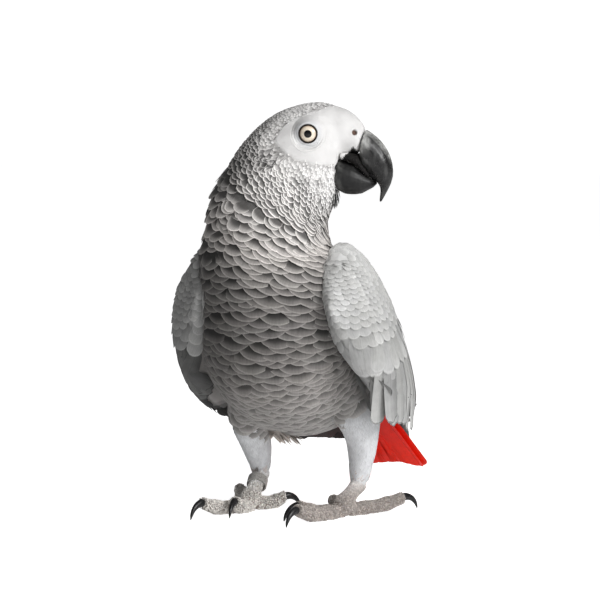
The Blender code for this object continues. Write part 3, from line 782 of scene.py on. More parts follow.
def thigh_coat(side, sheath, tree, body):
    """Short soft feathers down a thigh, close together and nearly white."""
    rng = np.random.default_rng(31 + SIDES[side])
    coat = Coat(f"coat_thigh_{side}")
    count, gap = 56, 1.15 * MM
    rows = np.arange(0, sheath.length - 1.5 * MM, gap)
    along = np.maximum(np.repeat(rows, count) + rng.normal(0, 0.25 * gap, len(rows) * count), 0)
    angle = np.tile(np.arange(count), len(rows)) + np.repeat(np.arange(len(rows)) % 2 * 0.5, count)
    angle = (angle + rng.normal(0, 0.2, len(angle))) * 2 * math.pi / count
    root, way, stretch, round_ = sheath.frame_at(along, angle)
    keep = ~inside(body, root, 1.2 * MM)
    root, way, stretch, round_ = (part[keep] for part in (root, way, stretch, round_))
    along, angle = along[keep], angle[keep]
    heel = smoothstep(0.86, 1.0, along / sheath.length)
    shade = np.interp(along / sheath.length, (0, 0.25, 0.5, 1), (0.78, 0.87, 0.93, 0.90)) - 0.08 * heel
    from_body = outside_by(body, root)
    shade = shade - 0.10 * (1 - smoothstep(0.0, 6 * MM, from_body))
    shade = (shade + rng.normal(0, 0.012, len(shade)))[:, None]
    warm = 1 - heel[:, None] * np.array([0.0, 0.05, 0.08])
    tint = np.array([0.985, 0.99, 1.0]) * warm
    middle, rim = (linear_all((shade + lighter) * tint) for lighter in (-0.03, 0.03))
    under = 1 - smoothstep(0.0, 5 * MM, from_body)
    look = dict(columns=2, rows=4, shape=(0.5, 0.9, 1, 0.8), tip=2.2, depth=0.7 * MM, cup=0.02,
                thick=0.06 * MM, rise=(0.06 - 0.6 * under) * MM, seed=71, varied=0.015,
                bend=rng.normal(0, 0.12, len(root)))
    chart = sheath.chart(along, angle)
    length = gap * 4.4 * np.clip(stretch, 0.5, 1.6)
    coat.add(tree, root, way, length, round_ / count * 1.8, middle, rim, chart, look)
    return coat


def vent_tuft(tree):
    """Loose warm tufts that hang under the belly between the legs."""
    rng = np.random.default_rng(51)
    coat = Coat("vent_tuft")
    many = 46
    low, high = corners_of("trunk")
    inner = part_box("thigh_right")[1][0]
    root = np.column_stack([
        rng.uniform(inner - 2 * MM, inner + 7 * MM, many),
        rng.uniform(*(low[1] + np.array([0.30, 0.46]) * (high[1] - low[1])), many),
        np.full(many, low[2]),
    ])
    root, _ = nearest(tree, root)
    way = np.array([0.10, 0.05, -1.0]) + rng.normal(0, 0.2, (many, 3))
    shade = rng.uniform(0.88, 1.0, many)[:, None] * np.array([1.0, 0.955, 0.92])
    look = dict(columns=4, rows=8, shape=(0.6, 1, 0.9, 0.6), tip=2.5, depth=0.6 * MM, curve=1.5, cup=0.05,
                rise=rng.uniform(2, 5.5, many) * MM, thick=0.1 * MM, ragged=0.05, seed=72,
                bend=rng.normal(0, 0.2, many))
    chart = np.column_stack([np.linspace(0.05, 0.95, many), np.full(many, 0.5)])
    length = rng.uniform(7, 11, many) * MM
    coat.add(tree, root, way, length, 4.4 * MM, linear_all(shade * 0.9), linear_all(shade), chart, look)
    return coat


# Where the tail's vanes start and end, as shares of its box across, along and up.
TAIL_ROOT = (0.54, -0.03, 1.01)
TAIL_TIP = (0.52, 0.985, -0.05)
TAIL_VANES = 12
TAIL_HALF = 5.6 * MM


def tail_coat():
    """Twelve broad red vanes, the outer ones under the middle ones, ridged along the middle."""
    rng = np.random.default_rng(41)
    coat = Coat("tail_vanes")
    root, tip = share_of("tail", TAIL_ROOT), share_of("tail", TAIL_TIP)
    way = unit(tip - root)
    length = np.linalg.norm(tip - root)
    across_tail = np.array([1.0, 0.0, 0.0])
    up = unit(np.cross(across_tail, way))
    columns, rows = 12, 20
    turn = np.linspace(-1, 1, columns + 1) * math.pi / 2
    across, down = np.sin(turn), np.linspace(0, 1, rows + 1)
    middle = (TAIL_VANES - 1) / 2
    for order, index in enumerate(sorted(range(TAIL_VANES), key=lambda k: abs(k - middle), reverse=True)):
        share = (index - middle) / middle
        fan = share * 0.06
        heading = way * math.cos(fan) + across_tail * math.sin(fan)
        side = unit(np.cross(heading, up))
        size = length * (1.0 - 0.06 * abs(share) ** 1.5) * rng.normal(1, 0.006)
        base = root + across_tail * share * 8.0 * MM
        half = TAIL_HALF * np.interp(down, (0, 0.2, 0.6, 1), (0.5, 0.8, 1, 1))
        short = 1 - 1.3 * half[-1] / size * (1 - np.cos(turn))
        reach = down[:, None] * short[None]
        ridge = (1 - share**2) * 4.0 * MM * (0.5 + 0.5 * reach) + order * 0.03 * MM
        tilt = share * 0.2 + 0.3 * (-1) ** index
        droop = -(0.10 * across**2 + tilt * across)[None] * half[:, None]
        top = base + heading * (reach * size)[..., None] + side * (half[:, None] * across[None])[..., None]
        top = top + up * (ridge + droop)[..., None]
        thick = 0.45 * MM * (1 - 0.7 * across**2)[None] * (1 - 0.5 * down)[:, None]
        coat.take(top[None], (top - up * thick[..., None])[None], columns, rows)
        each = (rows + 1) * (columns + 1)
        coat.centre.append(np.tile(linear(0.96, 0.12, 0.03) * (1 + 0.10 * (-1) ** index), (2 * each, 1)))
        coat.rim.append(np.tile(linear(1.0, 0.30, 0.12), (2 * each, 1)))
        u, v = np.meshgrid((across + 1) / 2, down)
        flat = np.column_stack([u.ravel(), v.ravel()])
        coat.vane.append(np.tile(flat, (2, 1)))
        place = np.array([0.05 + 0.9 * index / (TAIL_VANES - 1), 0.5])
        coat.bake.append(np.tile(place + (flat - 0.5) * np.array([0.07, 0.9]), (2, 1)))
    return coat


# ---------------------------------------------------------------- scales of the feet


# The grey and the tint of the scales on the toes, and how far apart the scales are.
# The right foot's scales are set lighter than the left's: painted light, the same scales made lighter to
# match how that foot is lit.
FOOT_LOOKS = {"left": (0.76, np.array([1.0, 0.955, 0.925])), "right": (0.90, np.array([1.0, 0.98, 0.955]))}
SCALE_GAP = 0.80 * MM


def foot_scales(side, mesh):
    """Small domed scales set close together over a shank and its toes."""
    rng = np.random.default_rng(61 + SIDES[side])
    coat = Coat(f"scales_{side}")
    points, facing = points_of(mesh), normals_of(mesh)
    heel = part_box(f"thigh_{side}")[0][2] + 1.5 * MM
    order = rng.permutation(np.nonzero((points[:, 2] < heel) & (points[:, 2] > 0.5 * MM))[0])
    taken, cells = [], {}
    for index in order:
        cell = tuple(np.floor(points[index] / SCALE_GAP).astype(int))
        close = [
            other
            for x in (-1, 0, 1) for y in (-1, 0, 1) for z in (-1, 0, 1)
            for other in cells.get((cell[0] + x, cell[1] + y, cell[2] + z), ())
        ]
        if all(np.linalg.norm(points[index] - points[other]) > SCALE_GAP for other in close):
            taken.append(index)
            cells.setdefault(cell, []).append(index)
    root, normal = points[taken], facing[taken]
    many = len(root)
    way = unit(np.cross(normal, np.cross(np.array([0.0, -1.0, -0.4]), normal)))
    beside = np.cross(way, normal)
    size = SCALE_GAP * rng.uniform(0.50, 0.60, many)
    spokes = np.arange(8) * math.pi / 4
    rings = ((1.0, -0.22), (0.86, 0.10), (0.48, 0.20))
    spots = []
    flat = way[:, None] * np.cos(spokes)[:, None] + beside[:, None] * np.sin(spokes)[:, None] * 1.15
    for reach, height in rings:
        spots.append(root[:, None] + flat * (size * reach)[:, None, None] + normal[:, None] * height * MM)
    tops = (root + normal * 0.24 * MM)[:, None]
    lows = (root - normal * 0.25 * MM)[:, None]
    points = np.concatenate([*spots, tops, lows], 1)
    ids = np.arange(8)
    after = (ids + 1) % 8
    faces = [np.stack([ids + low, after + low, after + low + 8, ids + low + 8], -1) for low in (0, 8)]
    even = ids[::2]
    top_cap = np.stack([even + 16, even + 17, (even + 2) % 8 + 16, np.full(4, 24)], -1)
    low_cap = np.stack([np.full(4, 25), (even + 2) % 8, even + 1, even], -1)
    one = np.concatenate([*faces, top_cap, low_cap])
    starts = np.arange(many) * 26
    coat.points.append(points.reshape(-1, 3))
    coat.faces.append((one[None] + starts[:, None, None]).reshape(-1, 4))
    coat.sharp.append(np.zeros(many * 26, np.int8))
    grey, warm = FOOT_LOOKS[side]
    shank = smoothstep(8 * MM, 16 * MM, root[:, 2])[:, None]
    shade = rng.normal(grey, 0.05, (many, 1))
    shade = (shade + (1.04 - shade) * shank) * (warm + (1 - warm) * shank * 0.7)
    coat.centre.append(np.repeat(linear_all(np.clip(shade * 0.86, 0, 1)), 26, 0))
    coat.rim.append(np.repeat(linear_all(np.clip(shade, 0, 1)), 26, 0))
    ways = np.column_stack([np.cos(spokes), np.sin(spokes)])
    round_ = 0.5 + 0.5 * np.concatenate([*(ways * reach for reach, _ in rings), np.zeros((2, 2))])
    coat.vane.append(np.tile(round_, (many, 1)))
    low, high = root.min(0), root.max(0)
    flat = (root - low) / (high - low)
    chart = np.column_stack([0.02 + 0.46 * flat[:, 0] + 0.5 * (normal[:, 2] < 0), 0.02 + 0.96 * flat[:, 1]])
    coat.bake.append((chart[:, None] + 0.003 * (round_ - 0.5)[None]).reshape(-1, 2))
    return coat


# ---------------------------------------------------------------- materials


class Board:
    """A node tree, with short ways to add shader nodes to it."""

    def __init__(self, tree):
        self.nodes, self.links = tree.nodes, tree.links

    def feed(self, socket, value):
        """Gives a socket another node's output, a number or a colour."""
        if isinstance(value, bpy.types.NodeSocket):
            self.links.new(value, socket)
        elif isinstance(value, (int, float)):
            socket.default_value = value
        else:
            socket.default_value = (*[float(part) for part in value[:3]], 1.0)

    def maths(self, operation, *values, clamp=False):
        node = self.nodes.new("ShaderNodeMath")
        node.operation = operation
        node.use_clamp = clamp
        for socket, value in zip(node.inputs, values):
            self.feed(socket, value)
        return node.outputs[0]

    def ramp(self, value, low, high, start=0.0, end=1.0):
        """A soft step from start to end as the value goes from low to high."""
        node = self.nodes.new("ShaderNodeMapRange")
        node.interpolation_type = "SMOOTHSTEP"
        for title, number in (("From Min", low), ("From Max", high), ("To Min", start), ("To Max", end)):
            node.inputs[title].default_value = number
        self.feed(node.inputs["Value"], value)
        return node.outputs[0]

    def place(self):
        return self.nodes.new("ShaderNodeTexCoord").outputs["Object"]

    def noise(self, scale, detail=3.0, vector=None):
        node = self.nodes.new("ShaderNodeTexNoise")
        node.inputs["Scale"].default_value = scale
        node.inputs["Detail"].default_value = detail
        self.feed(node.inputs["Vector"], vector or self.place())
        return node.outputs["Fac"]

    def mixed(self, amount, first, second, mode="MIX"):
        """Two colours mixed by the amount."""
        node = self.nodes.new("ShaderNodeMix")
        node.data_type = "RGBA"
        node.blend_type = mode
        for index, value in ((0, amount), (6, first), (7, second)):
            self.feed(node.inputs[index], value)
        return node.outputs[2]

    def attribute(self, name, output="Color"):
        node = self.nodes.new("ShaderNodeAttribute")
        node.attribute_name = name
        return node.outputs[output]

    def parts(self, vector):
        node = self.nodes.new("ShaderNodeSeparateXYZ")
        self.feed(node.inputs[0], vector)
        return node.outputs

    def joined(self, *values):
        node = self.nodes.new("ShaderNodeCombineXYZ")
        for socket, value in zip(node.inputs, values):
            self.feed(socket, value)
        return node.outputs[0]

    def times(self, colour, *levels):
        """The colour times each of these plain levels."""
        level = levels[0]
        for other in levels[1:]:
            level = self.maths("MULTIPLY", level, other)
        return self.mixed(1.0, colour, self.joined(level, level, level), "MULTIPLY")

    def bump(self, shader, height, distance, strength):
        node = self.nodes.new("ShaderNodeBump")
        node.inputs["Distance"].default_value = distance
        node.inputs["Strength"].default_value = strength
        self.feed(node.inputs["Height"], height)
        self.feed(shader.inputs["Normal"], node.outputs["Normal"])

    def seen_strength(self, lit, shown):
        """A glow of one strength for the light it gives and another for how it looks."""
        node = self.nodes.new("ShaderNodeMapRange")
        node.inputs["To Min"].default_value = lit
        node.inputs["To Max"].default_value = shown
        self.feed(node.inputs["Value"], self.nodes.new("ShaderNodeLightPath").outputs["Is Camera Ray"])
        return node.outputs[0]


def new_material(name, roughness=0.5, specular=0.5):
    """A material, the board of its nodes, and its shader."""
    material = bpy.data.materials.new(name)
    material.use_nodes = True
    board = Board(material.node_tree)
    shader = board.nodes["Principled BSDF"]
    shader.inputs["Roughness"].default_value = roughness
    shader.inputs["Specular IOR Level"].default_value = specular
    return material, board, shader


def feather_material(name, barbs=16.0, root_shade=0.42, glow=0.55, rim_from=0.90, rim_soft=0.06, edge_shadow=1.0,
                     roughness=0.75, sheen=0.1, shaft=0.06, shade=(0.28, 0.85), neighbour_shade=0.0, side_edge=0.96):
    """Vane colour from its middle to its rim, with slanting barbs and a shaft.

    root_shade is the shadow of the vane above, which ends over the shares of the length in shade. The pale
    rim starts at rim_from and takes rim_soft to build up, glow spreads it over the end, side_edge brings it
    to the sides, and edge_shadow paints the shadow between overlapping vanes on its very edge.
    neighbour_shade paints shade on the side where the next vane overlaps it."""
    material, board, shader = new_material(name, roughness, 0.2)
    shader.inputs["Sheen Weight"].default_value = sheen
    chart = board.nodes.new("ShaderNodeUVMap")
    chart.uv_map = "Vane"
    u, down, _ = board.parts(chart.outputs["UV"])
    across = board.maths("MULTIPLY_ADD", u, 2.0, -1.0)
    side = board.maths("ABSOLUTE", across)
    edge = board.maths("MULTIPLY_ADD", board.noise(700.0, 2.0), 0.05, board.maths("SUBTRACT", down, 0.025))
    edge = board.maths("MAXIMUM", edge, board.maths("MULTIPLY", side, side_edge))
    rim = board.ramp(edge, rim_from, rim_from + rim_soft)
    soft = board.ramp(down, 0.55, 0.97, 0.0, glow)
    colour = board.mixed(board.maths("MAXIMUM", rim, soft), board.attribute("centre"), board.attribute("rim"))
    lines = board.joined(
        board.maths("MULTIPLY", across, barbs),
        board.maths("MULTIPLY", board.maths("MULTIPLY_ADD", side, -0.35, down), 2.0),
        board.maths("MULTIPLY", board.noise(120.0, 1.0), 9.0),
    )
    hairs = board.noise(1.0, 3.0, lines)
    colour = board.times(
        colour,
        board.ramp(down, *shade, root_shade, 1.0),
        board.ramp(hairs, 0.25, 0.75, 0.88, 1.07),
        board.ramp(board.noise(260.0, 4.0), 0.3, 0.7, 0.93, 1.05),
        board.ramp(side, 0.02, 0.07, 1 - shaft, 1.0),
        # Painted shade on one side of each vane, where the next vane overlaps it.
        board.ramp(across, -0.95, 0.3, 1 - neighbour_shade, 1.0),
        # Painted shadow along the vane's very edge, where vanes overlap.
        board.ramp(edge, 0.972, 0.985, 1.0, edge_shadow),
    )
    board.feed(shader.inputs["Base Color"], colour)
    board.bump(shader, hairs, 0.10 * MM, 0.6)
    return material


def scale_material():
    material, board, shader = new_material("foot_scales", 0.5, 0.35)
    mottle = board.ramp(board.noise(500.0), 0.35, 0.65)
    colour = board.mixed(mottle, board.attribute("centre"), board.attribute("rim"))
    board.feed(shader.inputs["Base Color"], colour)
    board.bump(shader, board.noise(3000.0, 2.0), 0.08 * MM, 0.5)
    return material


# ---------------------------------------------------------------- skin

# How far each eye looks forward of its side and up, the radii of the lids' opening and of the hole that the
# skin has there before, how far the ball is moved out, how wide and deep the lids reach, and the radii of
# pupil and iris.
GAZE_TURN = math.radians(5.0)
GAZE_RISE = math.radians(-3.5)
LID_OPENING = 3.8 * MM
SOCKET_RIM = 4.5 * MM
EYE_OUT = 0.8 * MM
LID_REACH = 9 * MM
BEHIND_LID = -3.6 * MM
PUPIL = 1.76 * MM
IRIS = 3.6 * MM

# Marks on the head's sides, in mm forward of and above the eyes: the nostril, and the top of the dark wedge
# where the bill opens.
NOSTRIL = (21.5, 0.3)
WEDGE = (20.3, -6.6)

# Screen colours of the bare skin.
FACE_COLOUR = (0.865, 0.86, 0.856)
LID_SHADOW = (0.74, 0.76, 0.79)
LID_EDGE = (0.13, 0.105, 0.09)
SHANK_COLOUR = (0.86, 0.82, 0.79)
TOE_COLOUR = (0.60, 0.56, 0.53)
NOSTRIL_COLOUR = (0.40, 0.31, 0.27)
GAPE_COLOUR = (0.07, 0.065, 0.065)


def gaze(side):
    """The way an eye looks: out to its side, a little forward and up."""
    out = -BESIDE * SIDES[side]
    level = out * math.cos(GAZE_TURN) + FORWARD * math.sin(GAZE_TURN)
    return level * math.cos(GAZE_RISE) + UP * math.sin(GAZE_RISE)


def eyeball_centre(side):
    """The middle of the eyeball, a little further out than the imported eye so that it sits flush."""
    return eye_centre(side) + gaze(side) * EYE_OUT


def smooth_near(shape, near):
    every_way = dict(use_axis_x=True, use_axis_y=True, use_axis_z=True)
    bmesh.ops.smooth_vert(shape, verts=near, factor=0.5, **every_way)


def refined(mesh, centres, times):
    """The mesh with the faces near these (centre, radius) places divided and smoothed."""
    shape = bmesh.new()
    shape.from_mesh(mesh)
    for _ in range(times):
        edges = set()
        for face in shape.faces:
            place = face.calc_center_median()
            if any((place - Vector(centre)).length < radius for centre, radius in centres):
                edges.update(face.edges)
        bmesh.ops.subdivide_edges(shape, edges=list(edges), cuts=1, use_grid_fill=True, smooth=0.0)
        near = [
            vertex for vertex in shape.verts
            if any((vertex.co - Vector(centre)).length < radius for centre, radius in centres)
        ]
        for _ in range(2):
            smooth_near(shape, near)
    bmesh.ops.triangulate(shape, faces=[face for face in shape.faces if len(face.verts) > 4])
    shape.to_mesh(mesh)
    shape.free()
    mesh.shade_smooth()
    return mesh


def soothed(mesh):
    """The mesh with the step between head and cere smoothed away."""
    shape = bmesh.new()
    shape.from_mesh(mesh)
    forward, above = head_place(points_of(mesh))
    close = (forward > 10) & (forward < 33) & (above > -14)
    near = [vertex for vertex, chosen in zip(shape.verts, close) if chosen]
    for _ in range(16):
        smooth_near(shape, near)
    shape.to_mesh(mesh)
    shape.free()
    return mesh


def round_eye(points, side):
    """Heights out along the gaze, offsets square to it, their lengths, and those with the hole drawn in."""
    offset = points - eyeball_centre(side)
    height = offset @ gaze(side)
    flat = offset - height[:, None] * gaze(side)
    wide = np.linalg.norm(flat, axis=1)
    radius = np.interp(wide, (0, SOCKET_RIM, LID_REACH, 1), (LID_OPENING, LID_OPENING, LID_REACH, 1))
    return height, flat, wide, radius


def set_lids(points, side):
    """Draws the socket's rim in over the eyeball as a lid, with folds outside it."""
    low, high = corners_of(f"eye_{side}")
    ball = (high[2] - low[2]) / 2
    height, flat, wide, radius = round_eye(points, side)
    close = (height > BEHIND_LID) & (wide < 13 * MM)
    flat = flat * (radius / np.maximum(wide, 1e-6))[:, None]
    rim_height = math.sqrt(ball**2 - LID_OPENING**2) + 0.15 * MM
    lid = rim_height - smoothstep(LID_OPENING, 8 * MM, radius) * 1.2 * MM
    bead = 0.35 * MM * np.exp(-(((radius - LID_OPENING - 0.55 * MM) / (0.4 * MM)) ** 2))
    swing = np.arctan2(flat @ UP, flat @ FORWARD)
    folds = 0.16 * MM * np.cos((radius - 5.2 * MM) / (1.15 * MM) * 2 * math.pi + 0.6 * np.sin(2 * swing))
    folds = folds * smoothstep(4.9 * MM, 5.6 * MM, radius) * (1 - smoothstep(7.5 * MM, 10 * MM, radius))
    folds = folds * (0.55 + 0.45 * np.cos(swing + 1.9))
    hold = 1 - smoothstep(5.2 * MM, 8.5 * MM, radius)
    target = height * (1 - hold) + lid * hold + bead + folds
    return np.where(close[:, None], eyeball_centre(side) + flat + target[:, None] * gaze(side), points)


def head_point(mark, side):
    """A place beside the head at a mark given in mm forward of and above the eyes."""
    return between_eyes() + (FORWARD * mark[0] + UP * mark[1]) * MM - BESIDE * SIDES[side] * 30 * MM


def nostrils(tree):
    """The two nostrils, on the cere's sides, and the ways out of them."""
    found = []
    for side, sign in SIDES.items():
        place, _, _, _ = tree.ray_cast(Vector(head_point(NOSTRIL, side)), Vector(BESIDE * sign), 0.06)
        found.append((np.array(place), unit(-sign * BESIDE + 0.45 * FORWARD + 0.2 * UP)))
    return found


def above_gape(points):
    """Millimetres above the two slanting edges of the dark wedge where the bill opens."""
    forward, above = head_place(points)
    away = np.abs(forward - WEDGE[0])
    jagged = 0.35 * np.sin(forward * 7.0) + 0.25 * np.sin(forward * 13.0 + 1.0)
    return above - WEDGE[1] + 1.13 * away + jagged


def set_nostrils(points, places):
    for place, way in places:
        offset = points - place
        height = offset @ way
        flat = offset - height[:, None] * way
        radius = np.hypot(flat @ UP * 0.85, flat @ FORWARD * 1.1)
        near = np.abs(height) < 4 * MM
        dent = -1.4 * MM * (1 - smoothstep(0.6 * MM, 1.5 * MM, radius))
        dent = dent + 0.22 * MM * np.exp(-(((radius - 1.9 * MM) / (0.5 * MM)) ** 2))
        points = points + np.where(near, dent, 0)[:, None] * way
    return points


def bareness(points, feet):
    """How bare of feathers the skin is: the face, and the feet below the heels."""
    close = np.linalg.norm(points - between_eyes(), axis=1) < 50 * MM
    bare = (1 - smoothstep(-1.2, 0.6, outside_face(points))) * close
    for side, tree in feet.items():
        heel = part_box(f"thigh_{side}")[0][2] + 2.5 * MM
        for index in np.nonzero(points[:, 2] < heel)[0]:
            place, _, _, away = tree.find_nearest(Vector(points[index]))
            if away < 1.5 * MM:
                bare[index] = 1 - smoothstep(heel - 2 * MM, heel, points[index, 2])
    return bare


def painted(skin, colour, amount):
    """The skin's colours turned to this screen colour by the amount."""
    return skin + (linear(*colour) - skin) * amount[:, None]


def skin_colours(points, coats, bare, places):
    """Each skin point's colour: that of the nearest feathers, or of the bare skin there."""
    roots = np.concatenate([part for coat in coats for part in coat.roots])
    tones = np.concatenate([part for coat in coats for part in coat.tones])
    search = KDTree(len(roots))
    for index, root in enumerate(roots):
        search.insert(Vector(root), index)
    search.balance()
    colours = np.empty((len(points), 3))
    for row, point in enumerate(points):
        colours[row] = np.mean([tones[index] for _, index, _ in search.find_n(Vector(point), 3)], axis=0)
    feet = 1 - smoothstep(14 * MM, 24 * MM, points[:, 2])
    toes = 1 - smoothstep(9 * MM, 15 * MM, points[:, 2])
    skin = np.tile(linear(*FACE_COLOUR), (len(points), 1))
    skin = painted(skin, SHANK_COLOUR, feet)
    skin = painted(skin, TOE_COLOUR, toes)
    for side in SIDES:
        height, _, _, radius = round_eye(points, side)
        near = height > BEHIND_LID
        skin = painted(skin, LID_SHADOW, near * (1 - smoothstep(4.4 * MM, 8 * MM, radius)) * 0.35)
        skin = painted(skin, LID_EDGE, near * (1 - smoothstep(4.1 * MM, 4.5 * MM, radius)))
    for place, _ in places:
        away = np.linalg.norm(points - place, axis=1)
        skin = painted(skin, NOSTRIL_COLOUR, 1 - smoothstep(0.9 * MM, 1.8 * MM, away))
    forward, above = head_place(points)
    # The dark wedge where the bill opens: partly the gape's own dark skin, partly painted shade in its fold.
    wedge = smoothstep(-0.3, 0.6, -above_gape(points)) * (np.abs(forward - WEDGE[0]) < 6.5) * (above > -17)
    skin = painted(skin, GAPE_COLOUR, wedge)
    return colours + (skin - colours) * bare[:, None]


def foot_nodes(side):
    return [f"shank_{side}"] + [f"toe_{side}_{toe}" for toe in TOES]


def flesh_nodes():
    found = ["head", "cere", "neck", "trunk"]
    for side in SIDES:
        found += [f"wing_{side}", f"primaries_{side}", f"thigh_{side}", *foot_nodes(side)]
    return found


def make_skin(coats, head, feet):
    """One skin in place of all the flesh, sunk under the coat and shaped at the eyes and nostrils."""
    mesh = soothed(merged("skin", flesh_nodes(), GRID, 4))
    places = nostrils(head)
    face = [(eye_centre(side), 13 * MM) for side in SIDES] + [(place, 9 * MM) for place, _ in places]
    mesh = refined(mesh, face, 2)
    points, facing = points_of(mesh), normals_of(mesh)
    bare = bareness(points, feet)
    colours = skin_colours(points, coats, bare, places)
    points = points - facing * (SWELL + (1 - bare) * 0.9 * MM)[:, None]
    for side in SIDES:
        points = set_lids(points, side)
    points = set_nostrils(points, places)
    mesh.vertices.foreach_set("co", points.astype(np.float32).ravel())
    layer = mesh.color_attributes.new("tone", "FLOAT_COLOR", "POINT")
    layer.data.foreach_set("color", np.column_stack([colours, bare]).astype(np.float32).ravel())
    mesh.update()
    thing = linked("skin", mesh)
    mesh.materials.append(skin_material())
    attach(thing, "root")
    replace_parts(thing, *flesh_nodes())


def skin_material():
    material, board, shader = new_material("skin", 0.62, 0.3)
    level = board.ramp(board.noise(160.0), 0.3, 0.7, 0.95, 1.03)
    board.feed(shader.inputs["Base Color"], board.times(board.attribute("tone"), level))
    board.bump(shader, board.noise(2200.0, 4.0), 0.2 * MM, 0.5)
    return material


# ---------------------------------------------------------------- eyes, bill, claws, ring


def eye_material(side):
    """Pale rayed iris round a black pupil, dark where the lid meets it, under a clear wet coat."""
    material, board, shader = new_material(f"eye_{side}", 0.5, 0.1)
    x, y, _ = board.parts(board.place())
    squares = board.maths("ADD", board.maths("POWER", x, 2.0), board.maths("POWER", y, 2.0))
    out = board.maths("SQRT", squares)
    turn = board.maths("ARCTAN2", y, x)
    streaks = board.joined(board.maths("MULTIPLY", turn, 6.0), board.maths("MULTIPLY", out, 900.0))
    iris = board.mixed(board.noise(2.2, 3.0, streaks), linear(0.86, 0.79, 0.70), linear(0.98, 0.95, 0.89))
    outer = board.maths("MULTIPLY", board.ramp(out, IRIS - 0.6 * MM, IRIS + 0.1 * MM), 0.6)
    iris = board.mixed(outer, iris, linear(0.72, 0.60, 0.50))
    colour = board.mixed(board.ramp(out, PUPIL, PUPIL + 0.16 * MM), (0.004, 0.004, 0.005), iris)
    colour = board.mixed(board.ramp(out, IRIS, IRIS + 0.3 * MM), colour, linear(0.12, 0.09, 0.08))
    board.feed(shader.inputs["Base Color"], colour)
    shader.inputs["Coat Weight"].default_value = 0.8
    shader.inputs["Coat Roughness"].default_value = 0.015
    return material


def make_eye(side):
    low, high = corners_of(f"eye_{side}")
    shape = bmesh.new()
    bmesh.ops.create_uvsphere(shape, u_segments=64, v_segments=40, radius=(high[2] - low[2]) / 2)
    mesh = bpy.data.meshes.new(f"eyeball_{side}")
    shape.to_mesh(mesh)
    shape.free()
    mesh.shade_smooth()
    thing = linked(f"eyeball_{side}", mesh)
    thing.rotation_euler = Vector(gaze(side)).to_track_quat("Z", "Y").to_euler()
    thing.location = Vector(eyeball_centre(side))
    mesh.materials.append(eye_material(side))
    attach(thing, "root")
    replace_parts(thing, f"eye_{side}")


def horn_material(name, dark, pale, roughness, streak=600.0):
    """Dark horn that turns to a paler mottled grey where the mesh's worn attribute says."""
    material, board, shader = new_material(name, roughness, 0.45)
    streaks = board.nodes.new("ShaderNodeMapping")
    board.feed(streaks.inputs["Vector"], board.place())
    streaks.inputs["Scale"].default_value = (1.0, 1.0, 0.35)
    fibres = board.noise(streak, 5.0, streaks.outputs[0])
    cloud = board.noise(150.0, 4.0)
    specks = board.ramp(board.maths("ADD", fibres, cloud), 0.85, 1.25)
    # The paleness is the horn's wear and dust, and on the upper bill's ridge also a painted highlight.
    paleness = board.attribute("paleness", "Fac")
    amount = board.maths("MULTIPLY_ADD", specks, 0.75, board.maths("MULTIPLY", paleness, 0.55))
    amount = board.maths("MULTIPLY", amount, board.maths("ADD", paleness, 0.10), clamp=True)
    board.feed(shader.inputs["Base Color"], board.mixed(amount, linear(*dark), linear(*pale)))
    gloss = board.ramp(cloud, 0.35, 0.7, roughness - 0.06, roughness + 0.12)
    board.feed(shader.inputs["Roughness"], gloss)
    board.bump(shader, fibres, 0.16 * MM, 0.5)
    return material


def make_bill(node, grid, rounds, paleness_at, material):
    """A bill piece in place of its node, with the worn attribute from a function of its mesh."""
    mesh = merged(f"{node}_horn", [node], grid, rounds, 0.0)
    layer = mesh.attributes.new("paleness", "FLOAT", "POINT")
    layer.data.foreach_set("value", paleness_at(mesh).astype(np.float32))
    thing = linked(f"{node}_horn", mesh)
    mesh.materials.append(material)
    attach(thing, "root")
    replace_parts(thing, node)
    return mesh


def upper_wear_and_sheen(mesh):
    """Paler along the ridge, partly the horn's own mottled grey and partly a painted highlight where the
    ridge faces forward and up, and paler next to the cere, where the horn is mottled and dusted.
    """
    forward, above = head_place(points_of(mesh))
    ridge = smoothstep(0.72, 0.98, normals_of(mesh) @ unit(FORWARD * 0.85 + UP * 0.55))
    ridge = ridge * (0.35 + 0.65 * smoothstep(-26, -6, above))
    base = smoothstep(-17, -3, above) * (1 - smoothstep(24.5, 31, forward))
    return np.clip(0.85 * ridge + 0.95 * base, 0, 1)


def lower_worn(mesh):
    """A little paler at the hind rim."""
    forward, _ = head_place(points_of(mesh))
    return 0.35 * (1 - smoothstep(13.5, 16.5, forward))


def palate_worn(mesh):
    """One on the pale skin above the dark wedge, nothing in the mouth."""
    return np.clip(0.5 + above_gape(points_of(mesh)) / 1.2, 0, 1)


def gape_material():
    """Near-black inside of the mouth, partly its own dark colour and partly painted shade in that hollow,
    that breaks up into the pale skin above it.
    """
    material, board, shader = new_material("gape", 0.8, 0.2)
    flecks = board.noise(1500.0)
    paleness = board.maths("SUBTRACT", board.attribute("paleness", "Fac"), 0.45)
    edge = board.maths("MULTIPLY_ADD", flecks, 0.9, paleness)
    mottle = board.ramp(flecks, 0.5, 0.75)
    mouth_dark_and_shade = board.mixed(mottle, linear(0.09, 0.085, 0.085), linear(0.22, 0.21, 0.2))
    colour = board.mixed(board.ramp(edge, 0.42, 0.58), mouth_dark_and_shade, linear(*FACE_COLOUR))
    board.feed(shader.inputs["Base Color"], colour)
    board.bump(shader, flecks, 0.2 * MM, 0.6)
    return material


